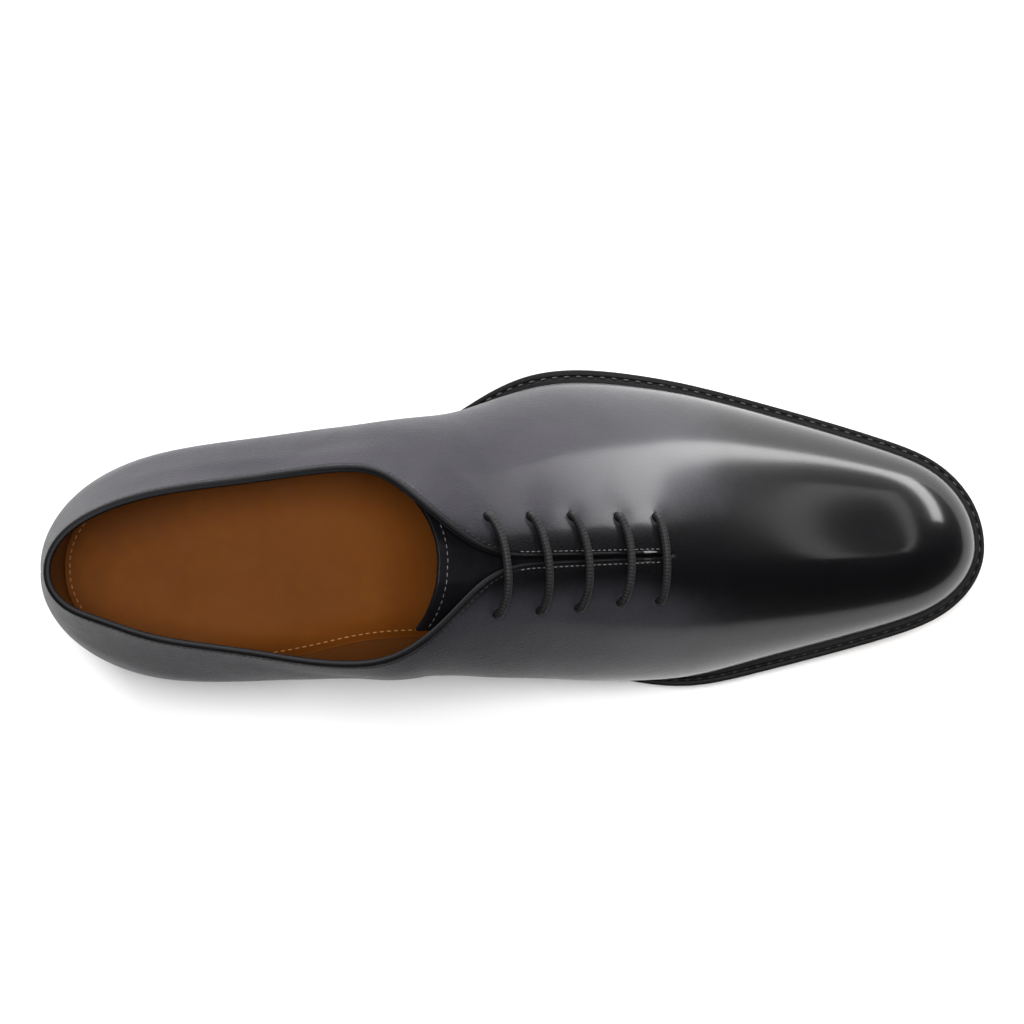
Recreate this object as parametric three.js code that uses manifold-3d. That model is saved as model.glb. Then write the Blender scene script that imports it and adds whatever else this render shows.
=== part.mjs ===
// A whole cut oxford, left shoe, in millimetres.
// While it is built, X runs from the heel end of the sole to the toe, Y to the lateral side
// and Z up from the floor. A place on the shoe's rim is an angle: 0 at the heel end, pi at the
// toe tip, positive on the lateral side and negative on the medial side.
import * as THREE from 'three';
import Module from 'manifold-3d';
import { mergeVertices } from 'three/addons/utils/BufferGeometryUtils.js';

const wasm = await Module();
wasm.setup();

// Sole and heel
const soleLength = 299;
const ballWidth = 102;
const outsoleThickness = 5;
const edgeBevel = 0.8;
const heelSeatHeight = 24;
const heelSeatFall = 3.4;
const heelLength = 75;
const heelTaper = 1.6;
const liftCount = 3;
const topPieceThickness = 6;
const treadStart = 0.59;
const treadEnd = 0.69;
const toeSpring = 9;
const heelEndRadius = 27;
const toeLateralRadius = 33;
const toeMedialRadius = 23;

// Welt
const weltThickness = 2.7;
const weltMargin = 5;
const weltStart = 0.31;

// Upper
const upperWall = 1.9;
const instepHeight = 82;
const flangeWidth = 9;
const lastedRadius = 2.2;
const throatEnd = 0.65;
const smallestSlitHalf = 0.25;
const heelLead = 12;
const heelLeadEnd = 0.3;
const backCurve = 0.05;

// Insole and sock
const insoleThickness = 2.4;
const fillingClearance = 1;
const sockThickness = 1.2;
const sockInset = 1;

// Tongue
const tongueThickness = 1.5;
const tongueHalfWidth = 28;
const tongueFrontWidth = 0.72;
const tongueWidening = 0.5;
const tongueFront = 0.7;
const tongueBack = 0.457;
const tongueReach = 10.5;
const tongueCornerReach = 7;
const tongueRise = 0.5;

// Lace and its eyelets
const laceDiameter = 2.5;
const eyeletDiameter = 3.3;
const laceLane = 3.1;
const laneEntry = 2.2;
const barRoundness = 0.8;
const laceShoulder = 0.6;
const laceMargin = 0.02;

// Clearance between pieces that touch on the real shoe
const seamGap = 0.3;

// Fineness of the solids
const sideStations = 48;
const wallRows = 9;
const heelStations = 16;
const tongueLengthSteps = 12;
const tongueReachSteps = 4;
const tongueAcrossSteps = 12;
const laceSteps = 110;
const laceSides = 8;
const barSteps = 6;
const runSteps = 3;
const punchSides = 12;
const mergeDistance = 1e-4;

// Half widths of the sole, as shares of the ball width, at shares of the sole's length.
const outlineRows = [
  { at: 0.10, lateral: 0.297, medial: 0.297 },
  { at: 0.20, lateral: 0.326, medial: 0.299 },
  { at: 0.30, lateral: 0.348, medial: 0.262 },
  { at: 0.40, lateral: 0.412, medial: 0.243 },
  { at: 0.46, lateral: 0.515, medial: 0.266 },
  { at: 0.50, lateral: 0.569, medial: 0.300 },
  { at: 0.56, lateral: 0.594, medial: 0.364 },
  { at: 0.62, lateral: 0.577, medial: 0.413 },
  { at: 0.68, lateral: 0.542, medial: 0.429 },
  { at: 0.75, lateral: 0.485, medial: 0.395 },
  { at: 0.83, lateral: 0.412, medial: 0.339 },
  { at: 0.90, lateral: 0.341, medial: 0.284 },
  { at: 0.95, lateral: 0.270, medial: 0.226 },
];

// How far the upper's foot stands inside the sole's edge, as shares of the welt margin.
const marginRows = [
  { at: 0.00, lateral: 0.30, medial: 0.30 },
  { at: 0.20, lateral: 0.35, medial: 0.35 },
  { at: 0.32, lateral: 0.45, medial: 0.45 },
  { at: 0.42, lateral: 0.70, medial: 0.45 },
  { at: 0.50, lateral: 1.00, medial: 0.50 },
  { at: 0.58, lateral: 1.05, medial: 0.70 },
  { at: 0.68, lateral: 0.90, medial: 0.95 },
  { at: 0.80, lateral: 0.75, medial: 0.95 },
  { at: 0.90, lateral: 0.70, medial: 0.90 },
  { at: 1.00, lateral: 0.70, medial: 0.70 },
];

// The upper's top line and, past the throat, the ridge of the vamp. Each row is a place on the rim:
// shift is how far the line lies ahead of it, as a share of the sole's length; lateral and medial
// are half widths as shares of the ball width; the rises above the sole are shares of the instep.
const crownRows = [
  { at: 0.000, shift: 0.021, lateral: 0.000, medial: 0.000, lateralRise: 0.784, medialRise: 0.784 },
  { at: 0.030, shift: 0.015, lateral: 0.130, medial: 0.114, lateralRise: 0.776, medialRise: 0.777 },
  { at: 0.067, shift: 0.011, lateral: 0.185, medial: 0.156, lateralRise: 0.751, medialRise: 0.757 },
  { at: 0.117, shift: 0.006, lateral: 0.224, medial: 0.204, lateralRise: 0.716, medialRise: 0.727 },
  { at: 0.174, shift: 0.002, lateral: 0.246, medial: 0.236, lateralRise: 0.688, medialRise: 0.706 },
  { at: 0.227, shift: 0.000, lateral: 0.261, medial: 0.261, lateralRise: 0.672, medialRise: 0.704 },
  { at: 0.288, shift: 0.000, lateral: 0.280, medial: 0.291, lateralRise: 0.706, medialRise: 0.738 },
  { at: 0.328, shift: 0.000, lateral: 0.283, medial: 0.297, lateralRise: 0.778, medialRise: 0.798 },
  { at: 0.358, shift: 0.000, lateral: 0.262, medial: 0.284, lateralRise: 0.857, medialRise: 0.864 },
  { at: 0.388, shift: 0.000, lateral: 0.200, medial: 0.243, lateralRise: 0.933, medialRise: 0.928 },
  { at: 0.421, shift: 0.000, lateral: 0.113, medial: 0.163, lateralRise: 0.985, medialRise: 0.978 },
  { at: 0.457, shift: 0.000, lateral: 0.038, medial: 0.062, lateralRise: 0.994, medialRise: 0.994 },
  { at: 0.488, shift: 0.000, lateral: 0.011, medial: 0.016, lateralRise: 0.962, medialRise: 0.962 },
  { at: 0.518, shift: 0.000, lateral: 0.007, medial: 0.007, lateralRise: 0.922, medialRise: 0.922 },
  { at: 0.562, shift: 0.000, lateral: 0.005, medial: 0.005, lateralRise: 0.856, medialRise: 0.856 },
  { at: 0.602, shift: 0.000, lateral: 0.004, medial: 0.004, lateralRise: 0.782, medialRise: 0.782 },
  { at: 0.640, shift: -0.001, lateral: 0.003, medial: 0.003, lateralRise: 0.710, medialRise: 0.710 },
  { at: 0.690, shift: -0.004, lateral: 0.000, medial: 0.000, lateralRise: 0.629, medialRise: 0.629 },
  { at: 0.748, shift: -0.012, lateral: 0.000, medial: 0.000, lateralRise: 0.554, medialRise: 0.554 },
  { at: 0.812, shift: -0.026, lateral: 0.000, medial: 0.000, lateralRise: 0.484, medialRise: 0.484 },
  { at: 0.886, shift: -0.050, lateral: 0.000, medial: 0.000, lateralRise: 0.421, medialRise: 0.421 },
  { at: 1.000, shift: -0.104, lateral: 0.000, medial: 0.000, lateralRise: 0.352, medialRise: 0.352 },
];

// The form of the upper's side between its foot and its top line. Flare is the outward angle at the
// foot and lean the inward angle at the top, both in degrees from upright; low and high say how far
// the side follows those two directions, as shares of its height and breadth.
const lateralFlankRows = [
  { at: 0.00, flare: 9, lean: 14, low: 0.33, high: 0.45 },
  { at: 0.08, flare: 28, lean: 18, low: 0.40, high: 0.45 },
  { at: 0.18, flare: 38, lean: 26, low: 0.45, high: 0.45 },
  { at: 0.28, flare: 43, lean: 31, low: 0.45, high: 0.45 },
  { at: 0.33, flare: 36, lean: 36, low: 0.45, high: 0.45 },
  { at: 0.36, flare: 33, lean: 43, low: 0.44, high: 0.46 },
  { at: 0.39, flare: 28, lean: 55, low: 0.44, high: 0.49 },
  { at: 0.42, flare: 21, lean: 68, low: 0.44, high: 0.50 },
  { at: 0.457, flare: 15, lean: 80, low: 0.43, high: 0.49 },
  { at: 0.49, flare: 11, lean: 87, low: 0.43, high: 0.48 },
  { at: 0.53, flare: 11, lean: 90, low: 0.43, high: 0.48 },
  { at: 0.60, flare: 14, lean: 90, low: 0.42, high: 0.48 },
  { at: 0.70, flare: 17, lean: 90, low: 0.42, high: 0.50 },
  { at: 0.80, flare: 12, lean: 90, low: 0.44, high: 0.52 },
  { at: 0.90, flare: 9, lean: 90, low: 0.47, high: 0.54 },
  { at: 1.00, flare: 8, lean: 90, low: 0.50, high: 0.56 },
];

const medialFlankRows = [
  { at: 0.00, flare: 9, lean: 14, low: 0.33, high: 0.45 },
  { at: 0.08, flare: 29, lean: 18, low: 0.40, high: 0.45 },
  { at: 0.18, flare: 36, lean: 20, low: 0.45, high: 0.45 },
  { at: 0.28, flare: 33, lean: 20, low: 0.45, high: 0.45 },
  { at: 0.33, flare: 26, lean: 23, low: 0.42, high: 0.44 },
  { at: 0.36, flare: 27, lean: 32, low: 0.40, high: 0.43 },
  { at: 0.39, flare: 31, lean: 47, low: 0.42, high: 0.44 },
  { at: 0.42, flare: 38, lean: 64, low: 0.45, high: 0.56 },
  { at: 0.457, flare: 45, lean: 78, low: 0.47, high: 0.75 },
  { at: 0.49, flare: 46, lean: 86, low: 0.48, high: 0.82 },
  { at: 0.53, flare: 44, lean: 90, low: 0.46, high: 0.72 },
  { at: 0.60, flare: 31, lean: 90, low: 0.44, high: 0.58 },
  { at: 0.70, flare: 16, lean: 90, low: 0.42, high: 0.52 },
  { at: 0.80, flare: 9, lean: 90, low: 0.44, high: 0.52 },
  { at: 0.90, flare: 8, lean: 90, low: 0.47, high: 0.54 },
  { at: 1.00, flare: 8, lean: 90, low: 0.50, high: 0.56 },
];

// The five bars of the lace from the instep down: the places of the two eyelets on the rim, their
// distances from the facing's edge as shares of the ball width, and how far the bar's middle hangs
// toward the toe, in lace diameters.
const barRows = [
  { lateralAt: 0.463, medialAt: 0.470, lateral: 0.107, medial: 0.130, bow: 1.7 },
  { lateralAt: 0.506, medialAt: 0.513, lateral: 0.126, medial: 0.157, bow: 1.5 },
  { lateralAt: 0.549, medialAt: 0.553, lateral: 0.125, medial: 0.155, bow: 1.5 },
  { lateralAt: 0.598, medialAt: 0.597, lateral: 0.118, medial: 0.140, bow: 1.2 },
  { lateralAt: 0.639, medialAt: 0.639, lateral: 0.115, medial: 0.140, bow: 0.8 },
];

const rimAngle = (share) => Math.acos(1 - 2 * share);
const rimShare = (angle) => (1 - Math.cos(angle)) / 2;
const degrees = (value) => value * Math.PI / 180;

// Natural cubic spline through the points (keys[i], values[i]).
function makeSpline(keys, values) {
  const last = keys.length - 1;
  const bend = new Array(last + 1).fill(0);
  const carry = new Array(last + 1).fill(0);
  for (let i = 1; i < last; i += 1) {
    const before = keys[i] - keys[i - 1];
    const after = keys[i + 1] - keys[i];
    const change = (values[i + 1] - values[i]) / after - (values[i] - values[i - 1]) / before;
    const pivot = 2 * (before + after) - before * carry[i - 1];
    carry[i] = after / pivot;
    bend[i] = (6 * change - before * bend[i - 1]) / pivot;
  }
  for (let i = last - 1; i > 0; i -= 1) {
    bend[i] -= carry[i] * bend[i + 1];
  }
  return (key) => {
    let i = 0;
    while (i < last - 1 && key > keys[i + 1]) {
      i += 1;
    }
    const width = keys[i + 1] - keys[i];
    const after = (key - keys[i]) / width;
    const before = 1 - after;
    const bowed = (before ** 3 - before) * bend[i] + (after ** 3 - after) * bend[i + 1];
    return before * values[i] + after * values[i + 1] + bowed * width * width / 6;
  };
}

// One spline over the rim angle for each named column.
function splineColumns(rows, names) {
  const angles = rows.map((row) => rimAngle(row.at));
  const columns = {};
  for (const name of names) {
    columns[name] = makeSpline(angles, rows.map((row) => row[name]));
  }
  return columns;
}

const margin = splineColumns(marginRows, ['lateral', 'medial']);
const crown = splineColumns(crownRows, ['lateral', 'medial']);
const lateralFlank = splineColumns(lateralFlankRows, ['flare', 'lean', 'low', 'high']);
const medialFlank = splineColumns(medialFlankRows, ['flare', 'lean', 'low', 'high']);

const crownShift = makeSpline(crownRows.map((row) => row.at), crownRows.map((row) => row.shift));
const crownPlaces = crownRows.map((row) => row.at + row.shift);
const lateralRise = makeSpline(crownPlaces, crownRows.map((row) => row.lateralRise));
const medialRise = makeSpline(crownPlaces, crownRows.map((row) => row.medialRise));

// The outline's half width divided by the sine of the rim angle, which keeps both ends round.
function makeBreadth(column, toeRadius) {
  const endBreadth = (radius) => Math.sqrt(radius * soleLength / 2);
  const angles = outlineRows.map((row) => rimAngle(row.at));
  const values = outlineRows.map((row, i) => row[column] * ballWidth / Math.sin(angles[i]));
  return makeSpline([0, ...angles, Math.PI], [endBreadth(heelEndRadius), ...values, endBreadth(toeRadius)]);
}

const lateralBreadth = makeBreadth('lateral', toeLateralRadius);
const medialBreadth = makeBreadth('medial', toeMedialRadius);

function outlinePoint(angle) {
  const around = Math.abs(angle) > Math.PI ? angle - Math.sign(angle) * 2 * Math.PI : angle;
  const breadth = around > 0 ? lateralBreadth(around) : medialBreadth(-around);
  return new THREE.Vector2(soleLength * rimShare(around), Math.sin(around) * breadth);
}

function inwardDirection(angle) {
  const step = 0.002;
  const along = outlinePoint(angle + step).sub(outlinePoint(angle - step)).normalize();
  return new THREE.Vector2(along.y, -along.x);
}

const insetPoint = (angle, distance) => outlinePoint(angle).addScaledVector(inwardDirection(angle), distance);

const footMargin = (angle) => weltMargin * (angle > 0 ? margin.lateral(angle) : margin.medial(-angle));

// Underside of the outsole: the seat falls to the heel breast, the arch runs down to the flat tread
// and the toe springs up from it.
function soleBottom(x) {
  const treadFrom = treadStart * soleLength;
  const treadTo = treadEnd * soleLength;
  const seatSlope = -heelSeatFall / heelLength;
  if (x < heelLength) {
    return heelSeatHeight + seatSlope * x;
  }
  if (x < treadFrom) {
    const run = treadFrom - heelLength;
    const t = (x - heelLength) / run;
    const height = heelSeatHeight - heelSeatFall;
    return height * (2 * t ** 3 - 3 * t ** 2 + 1) + seatSlope * run * (t ** 3 - 2 * t ** 2 + t);
  }
  return x < treadTo ? 0 : toeSpring * ((x - treadTo) / (soleLength - treadTo)) ** 2;
}

const soleTop = (x) => soleBottom(x) + outsoleThickness;

// Top line or ridge point that belongs to a place on the rim.
const isWelded = (angle) => rimShare(angle) >= throatEnd - 1e-6;

function crownPoint(angle) {
  const around = Math.abs(angle);
  const place = rimShare(around) + crownShift(rimShare(around));
  const rises = [lateralRise(place), medialRise(place)];
  const x = place * soleLength;
  if (isWelded(around)) {
    return new THREE.Vector3(x, 0, soleTop(x) + instepHeight * (rises[0] + rises[1]) / 2);
  }
  const side = angle > 0 ? 1 : -1;
  const share = angle > 0 ? crown.lateral(around) : crown.medial(around);
  const half = around === 0 ? 0 : Math.max(share * ballWidth, smallestSlitHalf);
  const fade = Math.min(around / backCurve, 1);
  return new THREE.Vector3(x, side * half * fade, soleTop(x) + instepHeight * rises[side > 0 ? 0 : 1]);
}

function ridgeSlope(x) {
  const height = (at) => soleTop(at) + instepHeight * lateralRise(at / soleLength);
  return (height(x + 0.5) - height(x - 0.5));
}

// The side of the upper at one place on the rim: a cubic curve from its foot to its top.
const footRise = seamGap + weltThickness + seamGap;

function sideCurve(angle) {
  const foot = insetPoint(angle, footMargin(angle));
  const around = Math.abs(angle);
  const start = new THREE.Vector3(foot.x, foot.y, soleTop(foot.x) + footRise);
  const end = crownPoint(angle);
  const lead = heelLead * Math.max(0, 1 - rimShare(around) / heelLeadEnd) ** 2;
  const inward = new THREE.Vector2(end.x + lead - foot.x, -foot.y).normalize();
  const flank = angle > 0 ? lateralFlank : medialFlank;
  const flare = degrees(flank.flare(around));
  const lean = degrees(Math.min(flank.lean(around), 90));
  const height = end.z - start.z;
  const breadth = Math.hypot(end.x - start.x, end.y - start.y);
  const low = flank.low(around) * height;
  const high = flank.high(around) * (breadth * Math.sin(lean) + height * Math.cos(lean));
  const out = Math.sin(flare) * low;
  const inFlat = Math.sin(lean);
  const slope = inFlat * inFlat * ridgeSlope(end.x) * inward.x;
  const topWay = new THREE.Vector3(inward.x * inFlat, inward.y * inFlat, Math.cos(lean) + slope).normalize();
  return new THREE.CubicBezierCurve3(
    start,
    new THREE.Vector3(start.x - inward.x * out, start.y - inward.y * out, start.z + Math.cos(flare) * low),
    end.clone().addScaledVector(topWay, -high),
    end,
  );
}

// Depth inside the foot line and rise above the sole of the lasted edge, from the flange's inner end.
const cornerHalf = lastedRadius * (1 - Math.SQRT1_2);
const lastedRows = [
  { depth: flangeWidth, rise: 0 },
  { depth: lastedRadius, rise: 0 },
  { depth: cornerHalf, rise: cornerHalf },
  { depth: 0, rise: lastedRadius },
];

// Ring of rim angles: from the heel end along the lateral side to the last place, and back.
function makeRing(stations, lastAngle) {
  const lateralAngles = [];
  for (let i = 1; i <= stations; i += 1) {
    lateralAngles.push(lastAngle * i / stations);
  }
  const isWhole = lastAngle === Math.PI;
  const medialAngles = lateralAngles.slice(0, isWhole ? -1 : undefined).reverse().map((angle) => -angle);
  return [0, ...lateralAngles, ...medialAngles];
}

function makeGeometry(points, triangles) {
  const geometry = new THREE.BufferGeometry();
  const positions = points.flatMap((point) => [point.x, point.y, point.z]);
  geometry.setAttribute('position', new THREE.Float32BufferAttribute(positions, 3));
  geometry.setIndex(triangles.flat());
  geometry.computeVertexNormals();
  return geometry;
}

function addMesh(parent, name, geometry, color, roughness, metalness = 0) {
  const mesh = new THREE.Mesh(geometry, new THREE.MeshStandardMaterial({ color, roughness, metalness }));
  mesh.name = name;
  parent.add(mesh);
  return mesh;
}

// A plate between two or more rings of points, listed from the bottom up.
function makePlate(rings) {
  const count = rings[0].length;
  const points = rings.flat();
  const triangles = [];
  const topStart = (rings.length - 1) * count;
  for (let level = 0; level < rings.length - 1; level += 1) {
    for (let i = 0; i < count; i += 1) {
      const next = (i + 1) % count;
      const low = level * count;
      const high = low + count;
      triangles.push([low + i, high + i, high + next], [low + i, high + next, low + next]);
    }
  }
  for (let i = 0; i < Math.floor(count / 2); i += 1) {
    const across = (count - i) % count;
    const nextAcross = count - i - 1;
    const corners = [i, i + 1, nextAcross, across];
    const halves = [[corners[0], corners[1], corners[2]], [corners[0], corners[2], corners[3]]];
    for (const [a, b, c] of halves.filter((half) => new Set(half).size === 3)) {
      triangles.push([a, b, c], [topStart + a, topStart + c, topStart + b]);
    }
  }
  return makeGeometry(points, triangles);
}

// A ring of points inside the outline, at a height that follows the sole.
function soleRing(angles, distance, heightAt) {
  return angles.map((angle) => {
    const plan = insetPoint(angle, typeof distance === 'function' ? distance(angle) : distance);
    return new THREE.Vector3(plan.x, plan.y, heightAt(plan.x));
  });
}

const wholeRing = makeRing(sideStations, Math.PI);

function makeOutsole() {
  return makePlate([
    soleRing(wholeRing, edgeBevel, soleBottom),
    soleRing(wholeRing, 0, (x) => soleBottom(x) + edgeBevel),
    soleRing(wholeRing, 0, soleTop),
  ]);
}

function addHeel(parent) {
  const heelRing = makeRing(heelStations, rimAngle(heelLength / soleLength));
  const stackBottom = topPieceThickness + seamGap;
  const between = (x, share) => {
    const top = soleBottom(x) - seamGap;
    return stackBottom + (top - stackBottom) * share;
  };
  const taperAt = (share) => seamGap + heelTaper * (1 - share);
  for (let i = 0; i < liftCount; i += 1) {
    const low = i / liftCount;
    const high = (i + 1) / liftCount;
    const parting = i === liftCount - 1 ? 0 : seamGap;
    const geometry = makePlate([
      soleRing(heelRing, taperAt(low), (x) => between(x, low)),
      soleRing(heelRing, taperAt(high), (x) => between(x, high) - parting),
    ]);
    addMesh(parent, `heel_lift_${i + 1}`, geometry, 0x151414, 0.4);
  }
  const topPiece = makePlate([
    soleRing(heelRing, heelTaper + edgeBevel, () => 0),
    soleRing(heelRing, heelTaper + seamGap, () => edgeBevel),
    soleRing(heelRing, heelTaper + seamGap, () => topPieceThickness),
  ]);
  addMesh(parent, 'top_piece', topPiece, 0x101010, 0.8);
}

function makeWelt() {
  const from = rimAngle(weltStart);
  const count = Math.round(sideStations * 2 * (Math.PI - from) / Math.PI);
  const points = [];
  for (let i = 0; i <= count; i += 1) {
    const angle = from + 2 * (Math.PI - from) * i / count;
    const around = angle > Math.PI ? angle - 2 * Math.PI : angle;
    const outer = insetPoint(around, 0);
    const inner = insetPoint(around, footMargin(around) - seamGap);
    for (const [plan, rise] of [[outer, 0], [outer, weltThickness], [inner, weltThickness], [inner, 0]]) {
      points.push(new THREE.Vector3(plan.x, plan.y, soleTop(plan.x) + seamGap + rise));
    }
  }
  const triangles = [[0, 2, 1], [0, 3, 2]];
  for (let i = 0; i < count; i += 1) {
    for (let k = 0; k < 4; k += 1) {
      const a = 4 * i + k;
      const b = 4 * i + (k + 1) % 4;
      triangles.push([a, b, b + 4], [a, b + 4, a + 4]);
    }
  }
  const end = 4 * count;
  triangles.push([end, end + 1, end + 2], [end, end + 2, end + 3]);
  return makeGeometry(points, triangles);
}

function makeInsole() {
  const ledge = seamGap + upperWall + seamGap;
  const edge = (angle) => footMargin(angle) + lastedRadius + seamGap;
  const filling = (angle) => footMargin(angle) + flangeWidth + fillingClearance;
  return makePlate([
    soleRing(wholeRing, filling, (x) => soleTop(x) + seamGap),
    soleRing(wholeRing, filling, (x) => soleTop(x) + ledge),
    soleRing(wholeRing, edge, (x) => soleTop(x) + ledge),
    soleRing(wholeRing, edge, (x) => soleTop(x) + ledge + insoleThickness),
  ]);
}

const sockBottom = seamGap + upperWall + seamGap + insoleThickness + seamGap;

function makeSock() {
  const edge = (angle) => footMargin(angle) + lastedRadius + seamGap + sockInset;
  return makePlate([
    soleRing(wholeRing, edge, (x) => soleTop(x) + sockBottom),
    soleRing(wholeRing, edge, (x) => soleTop(x) + sockBottom + sockThickness),
  ]);
}

// The upper: an outer and an inner skin over the same grid, joined at the flange's end and at the
// top line. Past the throat the two sides share the ridge, so the skins are closed there.
function makeUpper() {
  const count = wholeRing.length;
  const rows = lastedRows.length + wallRows + 1;
  const top = rows - 1;
  const mirror = (j) => (count - j) % count;
  const outer = wholeRing.map((angle) => {
    const foot = lastedRows.map(({ depth, rise }) => {
      const plan = insetPoint(angle, footMargin(angle) + depth);
      return new THREE.Vector3(plan.x, plan.y, soleTop(plan.x) + seamGap + rise);
    });
    return [...foot, ...sideCurve(angle).getPoints(wallRows)];
  });
  const welded = wholeRing.map((angle) => isWelded(Math.abs(angle)));
  const tip = sideStations;

  const normalAt = (j, r) => {
    let along = outer[(j + 1) % count][r].clone().sub(outer[(j + count - 1) % count][r]);
    let up = outer[j][Math.min(r + 1, top)].clone().sub(outer[j][Math.max(r - 1, 0)]);
    if (r === top && welded[j]) {
      const k = Math.min(j, mirror(j));
      const ahead = k === tip ? outer[tip][top - 1] : outer[k + 1][top];
      const beside = Math.min(k, tip - 1);
      along = ahead.clone().sub(outer[k - 1][top]);
      up = outer[mirror(beside)][top - 1].clone().sub(outer[beside][top - 1]);
    }
    return up.cross(along).normalize();
  };

  const inner = outer.map((column, j) => column.map((point, r) => (
    point.clone().addScaledVector(normalAt(j, r), -upperWall)
  )));
  const indexOf = (j, r) => (r === top && welded[j] ? Math.min(j, mirror(j)) : j) * rows + r;
  const innerStart = count * rows;
  const triangles = [];
  for (let j = 0; j < count; j += 1) {
    const next = (j + 1) % count;
    for (let r = 0; r < top; r += 1) {
      const [a, b, c, d] = [indexOf(j, r), indexOf(next, r), indexOf(next, r + 1), indexOf(j, r + 1)];
      triangles.push([a, d, c], [a, c, b]);
      triangles.push([innerStart + a, innerStart + c, innerStart + d]);
      triangles.push([innerStart + a, innerStart + b, innerStart + c]);
    }
    const footEdge = [indexOf(j, 0), indexOf(next, 0)];
    triangles.push([footEdge[0], footEdge[1], innerStart + footEdge[1]]);
    triangles.push([footEdge[0], innerStart + footEdge[1], innerStart + footEdge[0]]);
    if (!(welded[j] && welded[next])) {
      const topEdge = [indexOf(j, top), indexOf(next, top)];
      triangles.push([topEdge[0], innerStart + topEdge[1], topEdge[1]]);
      triangles.push([topEdge[0], innerStart + topEdge[0], innerStart + topEdge[1]]);
    }
  }
  return makeGeometry([...outer.flat(), ...inner.flat()], triangles);
}

// Point of the upper's outer skin at a distance down from its top, with the direction out of it.
function skinPoint(angle, distance) {
  const curve = sideCurve(angle);
  const t = curve.getUtoTmapping(0, curve.getLength() - distance);
  const step = 0.01;
  const along = sideCurve(angle + step).getPoint(t).sub(sideCurve(angle - step).getPoint(t));
  const up = curve.getTangent(t);
  return { point: curve.getPoint(t), normal: up.cross(along).normalize() };
}

// How far the facing's edge stands from the slit's centre line.
const edgeOffset = (angle) => Math.abs(crownPoint(angle).y);

// Two facing grids of points become one closed sheet.
function makeSheet(upperGrid, lowerGrid) {
  const across = upperGrid[0].length;
  const lowerStart = upperGrid.length * across;
  const triangles = [];
  const border = [];
  for (let i = 0; i < upperGrid.length - 1; i += 1) {
    for (let k = 0; k < across - 1; k += 1) {
      const a = i * across + k;
      const [b, c, d] = [a + 1, a + across + 1, a + across];
      triangles.push([a, b, c], [a, c, d]);
      triangles.push([lowerStart + a, lowerStart + c, lowerStart + b]);
      triangles.push([lowerStart + a, lowerStart + d, lowerStart + c]);
    }
  }
  const last = upperGrid.length - 1;
  for (let k = 0; k < across - 1; k += 1) {
    border.push([k, k + 1], [last * across + k + 1, last * across + k]);
  }
  for (let i = 0; i < last; i += 1) {
    border.push([i * across + across - 1, (i + 2) * across - 1], [(i + 1) * across, i * across]);
  }
  for (const [a, b] of border) {
    triangles.push([a, lowerStart + b, b], [a, lowerStart + a, lowerStart + b]);
  }
  return makeGeometry([...upperGrid.flat(), ...lowerGrid.flat()], triangles);
}

// The tongue lies under the facings, with room for the lace, and meets the vamp's lining ahead of it.
function makeTongue() {
  const lastBar = barRows[barRows.length - 1];
  const laceRoom = laceDiameter + 2 * seamGap;
  const roomAt = (share) => {
    const rampLength = tongueFront - lastBar.lateralAt - laceMargin;
    const t = THREE.MathUtils.clamp((tongueFront - share) / rampLength, 0, 1);
    return seamGap + (laceRoom - seamGap) * t * t * (3 - 2 * t);
  };
  const line = (share, depth, halfWidth) => {
    const points = [];
    for (let k = 0; k <= tongueAcrossSteps; k += 1) {
      const offset = halfWidth * (2 * k / tongueAcrossSteps - 1);
      const angle = Math.sign(offset || 1) * rimAngle(share);
      const slitHalf = edgeOffset(angle);
      const { point, normal } = skinPoint(angle, Math.max(Math.abs(offset) - slitHalf, 0));
      const place = point.clone();
      if (Math.abs(offset) < slitHalf) {
        place.y = offset;
        normal.y = 0;
        normal.normalize();
      }
      points.push(place.addScaledVector(normal, -depth));
    }
    return points;
  };
  const grid = (extra) => {
    const lines = [];
    for (let i = 0; i <= tongueLengthSteps; i += 1) {
      const share = tongueFront + (tongueBack - tongueFront) * i / tongueLengthSteps;
      const narrowing = Math.min(tongueFrontWidth + tongueWidening * i / tongueLengthSteps, 1);
      lines.push(line(share, upperWall + roomAt(share) + extra, tongueHalfWidth * narrowing));
    }
    const lastLine = lines[tongueLengthSteps];
    for (let i = 1; i <= tongueReachSteps; i += 1) {
      lines.push(lastLine.map((point, k) => {
        const corner = (2 * k / tongueAcrossSteps - 1) ** 2;
        const reach = (tongueReach + tongueCornerReach * corner) * i / tongueReachSteps;
        return point.clone().add(new THREE.Vector3(-reach, 0, reach * tongueRise));
      }));
    }
    return lines;
  };
  return makeSheet(grid(0), grid(tongueThickness));
}

function eyeletPlaces() {
  return barRows.map((row) => ({
    lateral: skinPoint(rimAngle(row.lateralAt), row.lateral * ballWidth),
    medial: skinPoint(-rimAngle(row.medialAt), row.medial * ballWidth),
  }));
}

function toManifold(geometry) {
  const plain = geometry.clone();
  plain.deleteAttribute('normal');
  plain.deleteAttribute('uv');
  const merged = mergeVertices(plain, mergeDistance);
  return new wasm.Manifold(new wasm.Mesh({
    numProp: 3,
    vertProperties: new Float32Array(merged.attributes.position.array),
    triVerts: new Uint32Array(merged.index.array),
  }));
}

function fromManifold(solid) {
  const mesh = solid.getMesh();
  const geometry = new THREE.BufferGeometry();
  geometry.setAttribute('position', new THREE.Float32BufferAttribute(mesh.vertProperties, 3));
  geometry.setIndex(Array.from(mesh.triVerts));
  geometry.computeVertexNormals();
  return geometry;
}

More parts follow.
